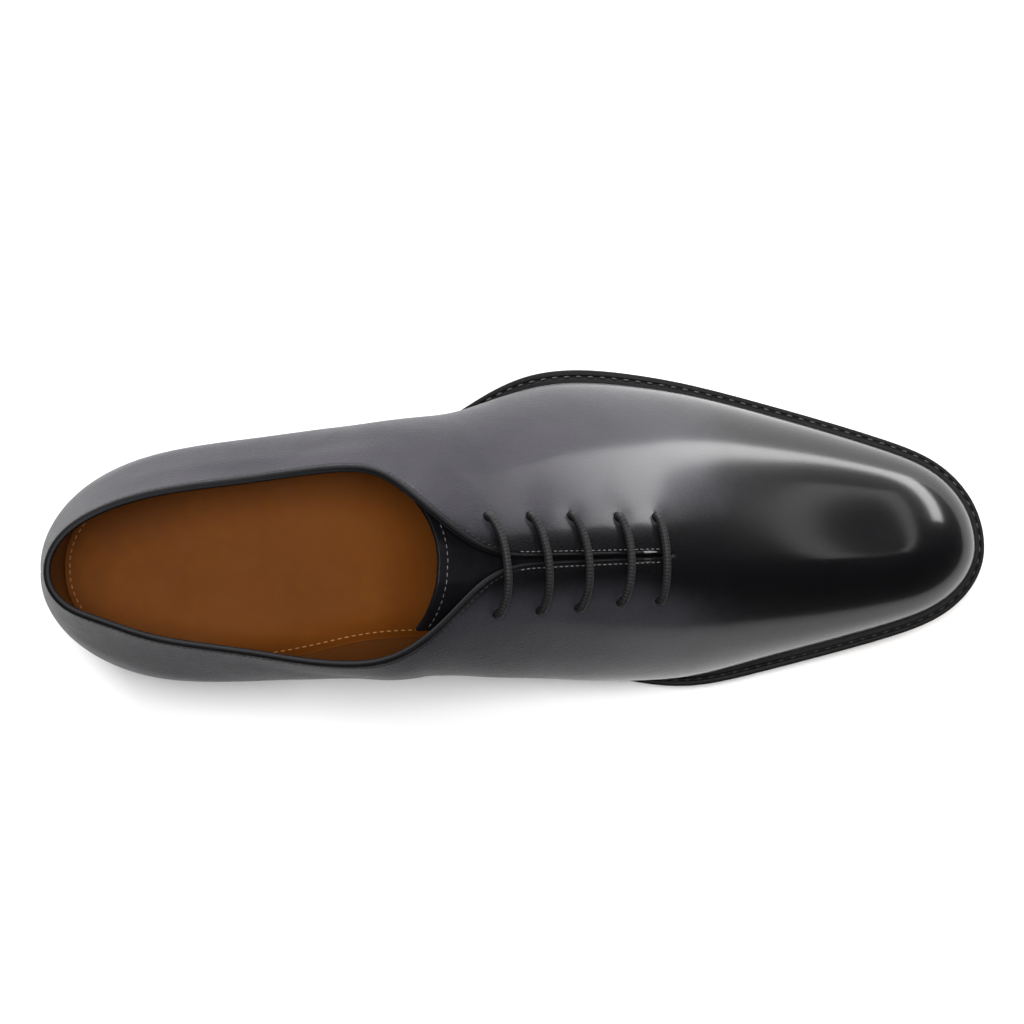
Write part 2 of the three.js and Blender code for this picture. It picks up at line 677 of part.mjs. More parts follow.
function punchEyelets(geometry) {
  let solid = toManifold(geometry);
  const up = new THREE.Vector3(0, 1, 0);
  const radius = eyeletDiameter / 2;
  for (const pair of eyeletPlaces()) {
    for (const { point, normal } of [pair.lateral, pair.medial]) {
      const punch = new THREE.CylinderGeometry(radius, radius, 4 * upperWall, punchSides);
      punch.applyQuaternion(new THREE.Quaternion().setFromUnitVectors(up, normal));
      punch.translate(point.x, point.y, point.z);
      solid = solid.subtract(toManifold(punch));
    }
  }
  return fromManifold(solid);
}

// The lace is one cord: bar 2, then 4, 5, 3 and 1, with runs under the facings between them.
function makeLace() {
  const radius = laceDiameter / 2;
  const places = eyeletPlaces();
  const above = radius + seamGap;
  const below = -(upperWall + seamGap + radius);
  const lift = ({ point, normal }, height) => point.clone().addScaledVector(normal, height);
  const route = [];

  const through = (place, goesUp) => {
    const heights = [below, -upperWall / 2, above * laceShoulder];
    route.push(...(goesUp ? heights : heights.reverse()).map((height) => lift(place, height)));
  };
  const bar = (index, fromLateral) => {
    const row = barRows[index];
    const points = [];
    const lateralEnd = -row.lateral * ballWidth - edgeOffset(rimAngle(row.lateralAt));
    const medialEnd = row.medial * ballWidth + edgeOffset(-rimAngle(row.medialAt));
    for (let i = 1; i < barSteps; i += 1) {
      const t = i / barSteps;
      const offset = lateralEnd + (medialEnd - lateralEnd) * t;
      const share = row.lateralAt + (row.medialAt - row.lateralAt) * t;
      const angle = (offset < 0 ? 1 : -1) * rimAngle(share);
      const skin = skinPoint(angle, Math.max(Math.abs(offset) - edgeOffset(angle), 0));
      const bowed = lift(skin, above);
      const forward = row.bow * laceDiameter * Math.sin(Math.PI * t) ** barRoundness;
      bowed.x += forward;
      bowed.z += forward * ridgeSlope(bowed.x);
      points.push(bowed);
    }
    route.push(...(fromLateral ? points : points.reverse()));
  };
  const run = (side, from, to, lane) => {
    const steps = runSteps * Math.abs(to - from);
    const sign = side === 'lateral' ? 1 : -1;
    for (let i = 1; i < steps; i += 1) {
      const t = i / steps;
      const at = barRows[from][`${side}At`] * (1 - t) + barRows[to][`${side}At`] * t;
      const distance = (barRows[from][side] * (1 - t) + barRows[to][side] * t) * ballWidth;
      const sideways = steps > runSteps ? lane * Math.min(1, laneEntry * Math.sin(Math.PI * t)) : 0;
      route.push(lift(skinPoint(sign * rimAngle(at), distance + sideways), below));
    }
  };

  through(places[1].lateral, true);
  bar(1, true);
  through(places[1].medial, false);
  run('medial', 1, 3, -laceLane);
  through(places[3].medial, true);
  bar(3, false);
  through(places[3].lateral, false);
  run('lateral', 3, 4, 0);
  through(places[4].lateral, true);
  bar(4, true);
  through(places[4].medial, false);
  run('medial', 4, 2, laceLane);
  through(places[2].medial, true);
  bar(2, false);
  through(places[2].lateral, false);
  run('lateral', 2, 0, laceLane);
  through(places[0].lateral, true);
  bar(0, true);
  through(places[0].medial, false);

  const section = new THREE.Shape();
  for (let i = 0; i < laceSides; i += 1) {
    const turn = 2 * Math.PI * i / laceSides;
    section[i === 0 ? 'moveTo' : 'lineTo'](radius * Math.cos(turn), radius * Math.sin(turn));
  }
  section.closePath();
  const path = new THREE.CatmullRomCurve3(route, false, 'centripetal');
  return new THREE.ExtrudeGeometry(section, { steps: laceSteps, bevelEnabled: false, extrudePath: path });
}

const shoe = new THREE.Group();
addMesh(shoe, 'outsole', makeOutsole(), 0x2a1c14, 0.5);
addHeel(shoe);
addMesh(shoe, 'welt', makeWelt(), 0x141313, 0.45);
addMesh(shoe, 'insole', makeInsole(), 0xb08a5c, 0.8);
addMesh(shoe, 'sock_liner', makeSock(), 0x9a5f2c, 0.6);
addMesh(shoe, 'upper', punchEyelets(makeUpper()), 0x2b2b30, 0.3);
addMesh(shoe, 'tongue', makeTongue(), 0x1a1a1c, 0.45);
addMesh(shoe, 'lace', makeLace(), 0x121212, 0.7);

const box = new THREE.Box3().setFromObject(shoe);
const middle = box.getCenter(new THREE.Vector3());
shoe.position.set(-middle.x, -middle.y, -box.min.z);
shoe.updateMatrixWorld(true);

export default shoe;
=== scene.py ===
import math

import bpy
import numpy as np
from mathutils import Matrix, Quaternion, Vector


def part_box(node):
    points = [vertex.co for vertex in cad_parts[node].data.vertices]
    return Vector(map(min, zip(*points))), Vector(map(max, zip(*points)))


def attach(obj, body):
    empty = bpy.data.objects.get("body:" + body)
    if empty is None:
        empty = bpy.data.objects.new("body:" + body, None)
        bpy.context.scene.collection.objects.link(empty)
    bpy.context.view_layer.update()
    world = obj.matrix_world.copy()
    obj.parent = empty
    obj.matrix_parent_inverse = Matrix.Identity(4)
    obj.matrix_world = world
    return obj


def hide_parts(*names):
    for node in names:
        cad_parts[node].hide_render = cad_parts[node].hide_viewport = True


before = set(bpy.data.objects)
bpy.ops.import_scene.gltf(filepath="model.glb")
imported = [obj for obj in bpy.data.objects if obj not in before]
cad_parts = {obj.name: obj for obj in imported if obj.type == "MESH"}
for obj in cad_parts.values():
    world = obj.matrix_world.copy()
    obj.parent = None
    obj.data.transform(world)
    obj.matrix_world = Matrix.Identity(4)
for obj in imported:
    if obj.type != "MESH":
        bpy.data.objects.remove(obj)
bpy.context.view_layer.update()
print("frame loaded:", len(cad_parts), "nodes")

# Sizes are in millimetres, with X from the heel end of the sole to the toe, Y to the lateral side
# and Z up. A place on the rim is an angle: 0 at the heel end, pi at the toe tip, positive on the
# lateral side and negative on the medial side.
soleLow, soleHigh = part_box("outsole")
sole = {
    "length": (soleHigh.x - soleLow.x) * 1000,
    "ballWidth": 102,
    "thickness": 5,
    "seatHeight": 24,
    "seatFall": 3.4,
    "heelLength": 75,
    "heelTaper": 1.6,
    "topPiece": 6,
    "toeSpring": 9,
    "treadStart": 0.59,
    "treadEnd": 0.69,
    "heelEndRadius": 27,
    "toeLateralRadius": 33,
    "toeMedialRadius": 23,
}

# share of the sole's length, half widths as shares of the ball width
outlineRows = [
    (0.10, 0.297, 0.297), (0.20, 0.326, 0.299), (0.30, 0.348, 0.262), (0.40, 0.412, 0.243),
    (0.46, 0.515, 0.266), (0.50, 0.569, 0.300), (0.56, 0.594, 0.364), (0.62, 0.577, 0.413),
    (0.68, 0.542, 0.429), (0.75, 0.485, 0.395), (0.83, 0.412, 0.339), (0.90, 0.341, 0.284),
    (0.95, 0.270, 0.226),
]

# share of the length, how far the upper stands inside the sole's edge on each side
marginRows = [
    (0.00, 0.30, 0.30), (0.20, 0.35, 0.35), (0.32, 0.45, 0.45), (0.42, 0.70, 0.45),
    (0.50, 1.00, 0.50), (0.58, 1.05, 0.70), (0.68, 0.90, 0.95), (0.80, 0.75, 0.95),
    (0.90, 0.70, 0.90), (1.00, 0.70, 0.70),
]

# the top line, then the ridge of the vamp: share, shift, half widths, rises on each side
crownRows = [
    (0.000, 0.021, 0.000, 0.000, 0.784, 0.784), (0.030, 0.015, 0.130, 0.114, 0.776, 0.777),
    (0.067, 0.011, 0.185, 0.156, 0.751, 0.757), (0.117, 0.006, 0.224, 0.204, 0.716, 0.727),
    (0.174, 0.002, 0.246, 0.236, 0.688, 0.706), (0.227, 0.000, 0.261, 0.261, 0.672, 0.704),
    (0.288, 0.000, 0.280, 0.291, 0.706, 0.738), (0.328, 0.000, 0.283, 0.297, 0.778, 0.798),
    (0.358, 0.000, 0.262, 0.284, 0.857, 0.864), (0.388, 0.000, 0.200, 0.243, 0.933, 0.928),
    (0.421, 0.000, 0.113, 0.163, 0.985, 0.978), (0.457, 0.000, 0.038, 0.062, 0.994, 0.994),
    (0.488, 0.000, 0.011, 0.016, 0.962, 0.962), (0.518, 0.000, 0.007, 0.007, 0.922, 0.922),
    (0.562, 0.000, 0.005, 0.005, 0.856, 0.856), (0.602, 0.000, 0.004, 0.004, 0.782, 0.782),
    (0.640, -0.001, 0.003, 0.003, 0.710, 0.710), (0.690, -0.004, 0.000, 0.000, 0.629, 0.629),
    (0.748, -0.012, 0.000, 0.000, 0.554, 0.554), (0.812, -0.026, 0.000, 0.000, 0.484, 0.484),
    (0.886, -0.050, 0.000, 0.000, 0.421, 0.421), (1.000, -0.104, 0.000, 0.000, 0.352, 0.352),
]

# the side's outward angle at its foot, inward angle at its top, and how far it follows each
lateralFlankRows = [
    (0.00, 9, 14, 0.33, 0.45), (0.08, 28, 18, 0.40, 0.45), (0.18, 38, 26, 0.45, 0.45),
    (0.28, 43, 31, 0.45, 0.45), (0.33, 36, 36, 0.45, 0.45), (0.36, 33, 43, 0.44, 0.46),
    (0.39, 28, 55, 0.44, 0.49), (0.42, 21, 68, 0.44, 0.50), (0.457, 15, 80, 0.43, 0.49),
    (0.49, 11, 87, 0.43, 0.48), (0.53, 11, 90, 0.43, 0.48), (0.60, 14, 90, 0.42, 0.48),
    (0.70, 17, 90, 0.42, 0.50), (0.80, 12, 90, 0.44, 0.52), (0.90, 9, 90, 0.47, 0.54),
    (1.00, 8, 90, 0.50, 0.56),
]
medialFlankRows = [
    (0.00, 9, 14, 0.33, 0.45), (0.08, 29, 18, 0.40, 0.45), (0.18, 36, 20, 0.45, 0.45),
    (0.28, 33, 20, 0.45, 0.45), (0.33, 26, 23, 0.42, 0.44), (0.36, 27, 32, 0.40, 0.43),
    (0.39, 31, 47, 0.42, 0.44), (0.42, 38, 64, 0.45, 0.56), (0.457, 45, 78, 0.47, 0.75),
    (0.49, 46, 86, 0.48, 0.82), (0.53, 44, 90, 0.46, 0.72), (0.60, 31, 90, 0.44, 0.58),
    (0.70, 16, 90, 0.42, 0.52), (0.80, 9, 90, 0.44, 0.52), (0.90, 8, 90, 0.47, 0.54),
    (1.00, 8, 90, 0.50, 0.56),
]

# lace bars from the instep down: rim shares, distances from the facing's edge, forward bow
barRows = [
    (0.463, 0.470, 0.107, 0.130, 1.7), (0.506, 0.513, 0.126, 0.157, 1.5),
    (0.549, 0.553, 0.125, 0.155, 1.5), (0.598, 0.597, 0.118, 0.140, 1.2),
    (0.639, 0.639, 0.115, 0.140, 0.8),
]

form = {
    "wall": 1.9,
    "instep": 82,
    "flange": 9,
    "lastedRadius": 2.2,
    "throatEnd": 0.65,
    "slitFade": 0.72,
    "smallestSlitHalf": 0.25,
    "heelLead": 12,
    "heelLeadEnd": 0.3,
    "backCurve": 0.05,
    "weltThickness": 2.7,
    "weltMargin": 5,
    "weltStart": 0.31,
    "gap": 0.3,
}
footRise = 2 * form["gap"] + form["weltThickness"]


def rimAngle(share):
    return np.arccos(1 - 2 * np.asarray(share, float))


def rimShare(angle):
    return (1 - np.cos(angle)) / 2


def smooth(low, high, value):
    t = np.clip((value - low) / (high - low), 0, 1)
    return t * t * (3 - 2 * t)


def wrap(angle):
    return (np.asarray(angle, float) + math.pi) % (2 * math.pi) - math.pi


def unit(vectors):
    return vectors / np.linalg.norm(vectors, axis=-1, keepdims=True)


def runLengths(points):  # the distance along a curve to each of its points
    pieces = np.linalg.norm(np.diff(points, axis=-2), axis=-1)
    return np.concatenate([np.zeros_like(pieces[..., :1]), np.cumsum(pieces, -1)], -1)


def placesAlong(distances, run, points):
    return np.column_stack([np.interp(distances, run, points[:, k]) for k in range(3)])


def naturalSpline(keys, values):
    keys = np.array(keys, float)
    values = np.array(values, float)
    width = np.diff(keys)
    system = np.eye(len(keys))
    right = np.zeros(len(keys))
    for i in range(1, len(keys) - 1):
        system[i, i - 1:i + 2] = width[i - 1], 2 * (width[i - 1] + width[i]), width[i]
        right[i] = 6 * (np.diff(values)[i] / width[i] - np.diff(values)[i - 1] / width[i - 1])
    bend = np.linalg.solve(system, right)

    def at(key):
        i = np.clip(np.searchsorted(keys, key) - 1, 0, len(keys) - 2)
        after = (key - keys[i]) / width[i]
        before = 1 - after
        bowed = (before ** 3 - before) * bend[i] + (after ** 3 - after) * bend[i + 1]
        return before * values[i] + after * values[i + 1] + bowed * width[i] ** 2 / 6
    return at


def rimSpline(rows, column):
    return naturalSpline(rimAngle([row[0] for row in rows]), [row[column] for row in rows])


def makeBreadth(column, toeRadius):
    angles = rimAngle([row[0] for row in outlineRows])
    values = np.array([row[column] for row in outlineRows]) * sole["ballWidth"] / np.sin(angles)
    ends = [math.sqrt(radius * sole["length"] / 2) for radius in (sole["heelEndRadius"], toeRadius)]
    return naturalSpline([0, *angles, math.pi], [ends[0], *values, ends[1]])


lateralBreadth = makeBreadth(1, sole["toeLateralRadius"])
medialBreadth = makeBreadth(2, sole["toeMedialRadius"])
lateralMargin, medialMargin = rimSpline(marginRows, 1), rimSpline(marginRows, 2)
crownLateral, crownMedial = rimSpline(crownRows, 2), rimSpline(crownRows, 3)
crownShift = naturalSpline([row[0] for row in crownRows], [row[1] for row in crownRows])
crownPlaces = [row[0] + row[1] for row in crownRows]
lateralRise = naturalSpline(crownPlaces, [row[4] for row in crownRows])
medialRise = naturalSpline(crownPlaces, [row[5] for row in crownRows])
lateralFlank = [rimSpline(lateralFlankRows, column) for column in (1, 2, 3, 4)]
medialFlank = [rimSpline(medialFlankRows, column) for column in (1, 2, 3, 4)]


def bySide(angle, lateral, medial):
    around = np.abs(angle)
    return np.where(angle > 0, lateral(around), medial(around))


def outlinePoint(angle):
    around = wrap(angle)
    breadth = bySide(around, lateralBreadth, medialBreadth)
    return np.stack([sole["length"] * rimShare(around), np.sin(around) * breadth], -1)


def insetPoint(angle, distance):
    step = 0.002
    along = unit(outlinePoint(angle + step) - outlinePoint(angle - step))
    inward = np.stack([along[..., 1], -along[..., 0]], -1)
    return outlinePoint(angle) + inward * np.asarray(distance, float)[..., None]


def footMargin(angle):
    return form["weltMargin"] * bySide(wrap(angle), lateralMargin, medialMargin)


def soleBottom(x):
    x = np.asarray(x, float)
    treadFrom = sole["treadStart"] * sole["length"]
    treadTo = sole["treadEnd"] * sole["length"]
    slope = -sole["seatFall"] / sole["heelLength"]
    run = treadFrom - sole["heelLength"]
    t = (x - sole["heelLength"]) / run
    breast = sole["seatHeight"] - sole["seatFall"]
    arch = breast * (2 * t ** 3 - 3 * t ** 2 + 1) + slope * run * (t ** 3 - 2 * t ** 2 + t)
    toe = sole["toeSpring"] * ((x - treadTo) / (sole["length"] - treadTo)) ** 2
    low = np.where(x < treadTo, 0, toe)
    low = np.where(x < treadFrom, arch, low)
    return np.where(x < sole["heelLength"], sole["seatHeight"] + slope * x, low)


def soleTop(x):
    return soleBottom(x) + sole["thickness"]


def isWelded(angle):
    return rimShare(angle) >= form["throatEnd"] - 1e-6


def crownPoint(angle):
    around = np.abs(angle)
    place = rimShare(around) + crownShift(rimShare(around))
    x = place * sole["length"]
    rises = np.stack([lateralRise(place), medialRise(place)])
    least = form["smallestSlitHalf"] * smooth(form["slitFade"], form["throatEnd"], rimShare(around))
    half = np.maximum(bySide(angle, crownLateral, crownMedial) * sole["ballWidth"], least)
    half = np.where(around == 0, 0, half) * np.minimum(around / form["backCurve"], 1)
    welded = isWelded(around)
    rise = np.where(welded, rises.mean(0), np.where(angle > 0, rises[0], rises[1]))
    y = np.where(angle > 0, half, -half)
    return np.stack([x, y, soleTop(x) + form["instep"] * rise], -1)


def ridgeSlope(x):
    def height(at):
        return soleTop(at) + form["instep"] * lateralRise(at / sole["length"])
    return height(x + 0.5) - height(x - 0.5)


def sideCorners(angle):  # the four corners of each side's cubic curve, from its foot to its top
    angle = np.atleast_1d(np.asarray(angle, float))
    around = np.abs(angle)
    foot = insetPoint(angle, footMargin(angle))
    end = crownPoint(angle)
    start = np.column_stack([foot, soleTop(foot[:, 0]) + footRise])
    lead = form["heelLead"] * np.maximum(0, 1 - rimShare(around) / form["heelLeadEnd"]) ** 2
    inward = unit(np.stack([end[:, 0] + lead - foot[:, 0], -foot[:, 1]], -1))
    flare, lean, low, high = [bySide(angle, lateralFlank[k], medialFlank[k]) for k in range(4)]
    flare = np.radians(flare)
    lean = np.radians(np.minimum(lean, 90))
    height = end[:, 2] - start[:, 2]
    breadth = np.hypot(end[:, 0] - start[:, 0], end[:, 1] - start[:, 1])
    low = low * height
    high = high * (breadth * np.sin(lean) + height * np.cos(lean))
    slope = np.sin(lean) ** 2 * ridgeSlope(end[:, 0]) * inward[:, 0]
    topWay = unit(np.column_stack([inward * np.sin(lean)[:, None], np.cos(lean) + slope]))
    lowEnd = start + np.column_stack([-inward * (np.sin(flare) * low)[:, None], np.cos(flare) * low])
    return np.stack([start, lowEnd, end - topWay * high[:, None], end], 1)


def bezier(corners, t):
    t = t[..., None]
    a, b, c, d = [corners[:, k][:, None] for k in range(4)]
    return a * (1 - t) ** 3 + b * 3 * t * (1 - t) ** 2 + c * 3 * t ** 2 * (1 - t) + d * t ** 3


def lengthFromTop(corners, steps=240):  # parameters and their distances from the top, per side
    t = np.linspace(1, 0, steps)
    points = bezier(corners, np.broadcast_to(t, (len(corners), steps)))
    return t, runLengths(points)


def skinPoint(angle, distance):  # places on the outer skin and the directions out of it
    angle = np.atleast_1d(np.asarray(angle, float))
    distance = np.broadcast_to(np.asarray(distance, float), angle.shape)
    corners = sideCorners(angle)
    steps, lengths = lengthFromTop(corners)
    t = np.array([np.interp(distance[i], lengths[i], steps) for i in range(len(angle))])[:, None]
    ahead = bezier(sideCorners(angle + 0.01), t)[:, 0]
    behind = bezier(sideCorners(angle - 0.01), t)[:, 0]
    up = bezier(corners, np.minimum(t + 0.002, 1))[:, 0] - bezier(corners, t - 0.002)[:, 0]
    return bezier(corners, t)[:, 0], unit(np.cross(up, ahead - behind))


def edgeOffset(angle):
    return np.abs(crownPoint(np.asarray(angle, float))[..., 1])


wide = outlinePoint(np.linspace(0, math.pi, 2000))[:, 1].max()
shift = np.array([soleLow.x * 1000, soleHigh.y * 1000 - wide, 0])


def toFrame(points):  # from millimetres along the shoe to metres in the frame
    return (np.asarray(points, float) + shift) / 1000


# Making and finishing pieces

def ringAngles(count, lastAngle=math.pi):  # a full round, or the heel's part of it with its breast
    if lastAngle == math.pi:
        angles = wrap(np.arange(count) * 2 * math.pi / count)
        angles[count // 2] = math.pi
        return angles
    half = np.linspace(0, lastAngle, count // 2)
    return np.concatenate([half, -half[:0:-1]])


def ring(angles, inset, height, rise=0):
    plan = insetPoint(angles, inset)
    return np.column_stack([plan, height(plan[:, 0]) + rise])


def roundEdge(radius, steps, bottom=True):  # distance in from the edge and height for a rounded corner
    turns = np.radians(np.linspace(0, 90, steps + 1))
    rows = [(radius * (1 - math.sin(turn)), radius * (1 - math.cos(turn))) for turn in turns]
    return rows if bottom else [(inset, -rise) for inset, rise in rows[::-1]]


def newMesh(name, points, faces, marks=None, places=None, merge=0.00002):
    mesh = bpy.data.meshes.new(name)
    mesh.from_pydata(toFrame(points).tolist(), [], faces)
    for mark, values in (marks or {}).items():
        layer = mesh.attributes.new(mark, "FLOAT", "POINT")
        layer.data.foreach_set("value", np.asarray(values, np.float32).ravel())
    if places is not None:
        mesh.polygons.foreach_set("material_index", places)
    piece = bpy.data.objects.new(name, mesh)
    bpy.context.scene.collection.objects.link(piece)
    selectOnly(piece)
    bpy.ops.object.mode_set(mode="EDIT")
    bpy.ops.mesh.select_all(action="SELECT")
    bpy.ops.mesh.remove_doubles(threshold=merge)
    bpy.ops.mesh.normals_make_consistent(inside=False)
    bpy.ops.object.mode_set(mode="OBJECT")
    return piece


def selectOnly(piece):
    bpy.ops.object.select_all(action="DESELECT")
    piece.select_set(True)
    bpy.context.view_layer.objects.active = piece


def applyModifier(piece, kind, **settings):
    selectOnly(piece)
    modifier = piece.modifiers.new(kind.title(), kind)
    for name, value in settings.items():
        setattr(modifier, name, value)
    bpy.ops.object.modifier_apply(modifier=modifier.name)


def smoothBy(piece, degrees):
    selectOnly(piece)
    bpy.ops.object.shade_smooth_by_angle(angle=math.radians(degrees))


def dress(piece, *finishes, slot=None, replaces=()):
    for finish in finishes:
        piece.data.materials.append(finish)
    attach(piece, "root")
    if replaces:
        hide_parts(*replaces)


def gridFaces(rows, columns, closed=False):
    faces = []
    for i in range(rows - 1):
        for k in range(columns if closed else columns - 1):
            a = i * columns + k
            b = i * columns + (k + 1) % columns
            faces.append((a, b, b + columns, a + columns))
    return faces


# Finishes

class Wire:  # one output socket; sums and products of wires make Math nodes
    def __init__(self, finish, socket):
        self.finish = finish
        self.socket = socket

    def math(self, operation, first, second):
        return self.finish.node("ShaderNodeMath", {"operation": operation}, {0: first, 1: second})

    def __add__(self, other):
        return self.math("ADD", self, other)

    def __sub__(self, other):
        return self.math("SUBTRACT", self, other)

    def __rsub__(self, other):
        return self.math("SUBTRACT", other, self)

    def __mul__(self, other):
        return self.math("MULTIPLY", self, other)

    __radd__ = __add__
    __rmul__ = __mul__


class Finish:
    def __init__(self, name):
        self.material = bpy.data.materials.new(name)
        self.material.use_nodes = True
        self.tree = self.material.node_tree
        self.tree.nodes.clear()

    def node(self, kind, settings=None, sockets=None, output=0):
        made = self.tree.nodes.new(kind)
        for name, value in (settings or {}).items():
            setattr(made, name, value)
        for name, value in (sockets or {}).items():
            if isinstance(value, Wire):
                self.tree.links.new(value.socket, made.inputs[name])
            else:
                made.inputs[name].default_value = value
        return None if output is None else Wire(self, made.outputs[output])

    def place(self, scale=None):
        place = self.node("ShaderNodeTexCoord", output="Object")
        if scale is None:
            return place
        return self.node("ShaderNodeMapping", None, {"Vector": place, "Scale": scale}, output="Vector")

    def mark(self, name):
        return self.node("ShaderNodeAttribute", {"attribute_name": name}, output="Fac")

    def step(self, value, low, high, start=0.0, end=1.0):
        settings = {"interpolation_type": "SMOOTHSTEP"}
        sockets = {"Value": value, "From Min": low, "From Max": high, "To Min": start, "To Max": end}
        return self.node("ShaderNodeMapRange", settings, sockets)

    def noise(self, scale, detail, stretch=None):
        sockets = {"Vector": self.place(stretch), "Scale": scale, "Detail": detail, "Roughness": 0.55}
        return self.node("ShaderNodeTexNoise", None, sockets)

    def cells(self, scale, feature="F1"):
        sockets = {"Vector": self.place(), "Scale": scale}
        return self.node("ShaderNodeTexVoronoi", {"feature": feature}, sockets)

    def sine(self, wire):
        return self.node("ShaderNodeMath", {"operation": "SINE"}, {0: wire})

    def blend(self, share, first, second):
        first, second = [c if isinstance(c, Wire) else (*c, 1) for c in (first, second)]
        sockets = {0: share, 6: first, 7: second}
        return self.node("ShaderNodeMix", {"data_type": "RGBA"}, sockets, output=2)

    def bump(self, height, depth, strength):
        sockets = {"Height": height, "Distance": depth, "Strength": strength}
        return self.node("ShaderNodeBump", None, sockets)

    def close(self, **sockets):
        sockets = {name.replace("_", " "): value for name, value in sockets.items()}
        shader = self.node("ShaderNodeBsdfPrincipled", None, sockets)
        self.node("ShaderNodeOutputMaterial", None, {"Surface": shader}, output=None)
        return self.material


# Depths are in metres and scales are per metre. A range is the low and high end of a soft step.

calf = {
    "quarters": ((0.030, 0.0285, 0.034), (0.022, 0.021, 0.0255)),
    "black": (0.0028, 0.0026, 0.0032),
    "worn": (0.045, 0.045, 0.048),
    "pores": 1150,
    "cracks": 1300,
    "depth": 0.00007,
    "roughness": 0.44,
    "coat": 0.9,
}
sockTan = {
    "clouds": ((0.142, 0.042, 0.0046), (0.110, 0.0315, 0.0033)),
    "mottle": (0.168, 0.054, 0.0075),
    # rim is a darker colour painted near the sock's edge as shade, where the sock meets the lining
    "rim": (0.080, 0.023, 0.0035),
    "pores": 1700,
    "depth": 0.00007,
    "roughness": 0.58,
}
soleTan = {
    "clouds": ((0.30, 0.165, 0.075), (0.235, 0.120, 0.050)),
    "scuff": (0.14, 0.075, 0.035),
    "waist": (0.014, 0.013, 0.012),
    "waistEnd": (-0.004, 0.0),
    "depth": 0.00009,
    "roughness": 0.42,
}
strands = {  # two sets that cross, with as many turns each way round the lace
    "turns": 5,
    "pitch": 2.9,
    "height": 0.02,
    # the dark colour is painted shade in the grooves between strands, the light one is the strands'
    # tops, lighter where light falls
    "colours": ((0.0022, 0.0022, 0.0025), (0.0068, 0.0068, 0.0076)),
    "fluff": (0.030, 0.030, 0.033),
}

# two colours, noise scale and detail, range, roughness and its swing, relief depth and strength
yarn = (2500, 3, (0.35, 0.7))
plainRows = {
    "topPieceRubber": ((0.016, 0.016, 0.016), (0.030, 0.030, 0.029), 1200, 4, (0.5, 0.75), 0.66, 0.2,
                       0.0001, 0.8),
    "insoleLeather": ((0.36, 0.20, 0.09), (0.27, 0.14, 0.06), 600, 5, (0.3, 0.7), 0.8, 0, 0.0001, 0.7),
    "blackThread": ((0.003, 0.003, 0.003), (0.008, 0.008, 0.008), *yarn, 0.6, 0, 0.00005, 0.8),
    "greyThread": ((0.035, 0.035, 0.037), (0.12, 0.12, 0.125), *yarn, 0.5, 0, 0.00005, 0.8),
    "tanThread": ((0.24, 0.10, 0.025), (0.42, 0.19, 0.05), *yarn, 0.6, 0, 0.00005, 0.8),
}

# dark and light colour, roughness
waxedRows = {
    "weltLeather": ((0.0020, 0.0020, 0.0022), (0.0045, 0.0045, 0.0048), 0.55),
    "soleEdge": ((0.012, 0.011, 0.011), (0.026, 0.024, 0.023), 0.34),
    "heelLeather": ((0.011, 0.010, 0.010), (0.022, 0.020, 0.019), 0.36),
}


def calfUpper():
    f = Finish("burnishedCalf")
    burnish, polish, edge = f.mark("burnish"), f.mark("polish"), f.mark("edgeDistance")
    cloud, hide, fibre = f.noise(26, 4), f.noise(140, 5), f.noise(900, 3)
    # hand burnishing: anthracite on the quarters, black at the toe, the facings and the edges
    ground = f.blend(f.step(cloud, 0.3, 0.7), *calf["quarters"])
    shade = f.step(burnish + (cloud - 0.5) * 0.5 + (hide - 0.5) * 0.16, 0.18, 0.85)
    colour = f.blend(shade, ground, calf["black"])
    colour = f.blend(f.step(edge, 0.0, 0.4, 0.35, 0), colour, calf["worn"])
    pores = f.step(f.cells(calf["pores"]), 0.0, 0.75)
    crackle = f.step(f.cells(calf["cracks"], "DISTANCE_TO_EDGE"), 0.0, 0.12)
    relief = (pores * 0.9 + crackle * 0.3 + fibre * 0.6) * (1 - polish * 0.66)
    worn = f.step(edge, 0.6, 2.0, 0.2, 0)
    rough = calf["roughness"] - polish * 0.08 + worn + (hide - 0.5) * 0.12 + (fibre - 0.5) * 0.06
    return f.close(Base_Color=colour, Roughness=rough, Normal=f.bump(relief, calf["depth"], 1.0),
                   Specular_IOR_Level=0.09, Coat_Weight=polish * f.step(edge, 0.8, 2.6) * calf["coat"],
                   Coat_Roughness=0.14, Coat_IOR=1.42)


def tanLining():
    f = Finish("tanLining")
    cloud, fibre = f.noise(35, 4), f.noise(1100, 4)
    colour = f.blend(f.step(cloud, 0.25, 0.75), (0.155, 0.052, 0.009), (0.110, 0.036, 0.006))
    colour = f.blend(f.step(fibre, 0.55, 0.8, 0, 0.3), colour, (0.19, 0.070, 0.014))
    normal = f.bump(f.cells(1900) * 0.5 + fibre * 0.5, 0.00006, 0.6)
    return f.close(Base_Color=colour, Roughness=0.5 + (fibre - 0.5) * 0.2, Normal=normal)


def tanSock():
    f = Finish("tanSock")
    cloud, fibre, mottle = f.noise(22, 5), f.noise(1000, 4), f.noise(90, 5)
    colour = f.blend(f.step(cloud, 0.28, 0.72), *sockTan["clouds"])
    colour = f.blend(f.step(mottle, 0.45, 0.75, 0, 0.35), colour, sockTan["mottle"])
    # painted shade: the sock darkens over the last 6 mm to its edge, where it meets the lining
    colour = f.blend(f.step(f.mark("rimDistance"), 0.0, 6.0, 0.45, 0), colour, sockTan["rim"])
    normal = f.bump(f.cells(sockTan["pores"]) * 0.5 + fibre * 0.6, sockTan["depth"], 0.7)
    return f.close(Base_Color=colour, Roughness=sockTan["roughness"] + (mottle - 0.5) * 0.25,
                   Normal=normal, Specular_IOR_Level=0.05)


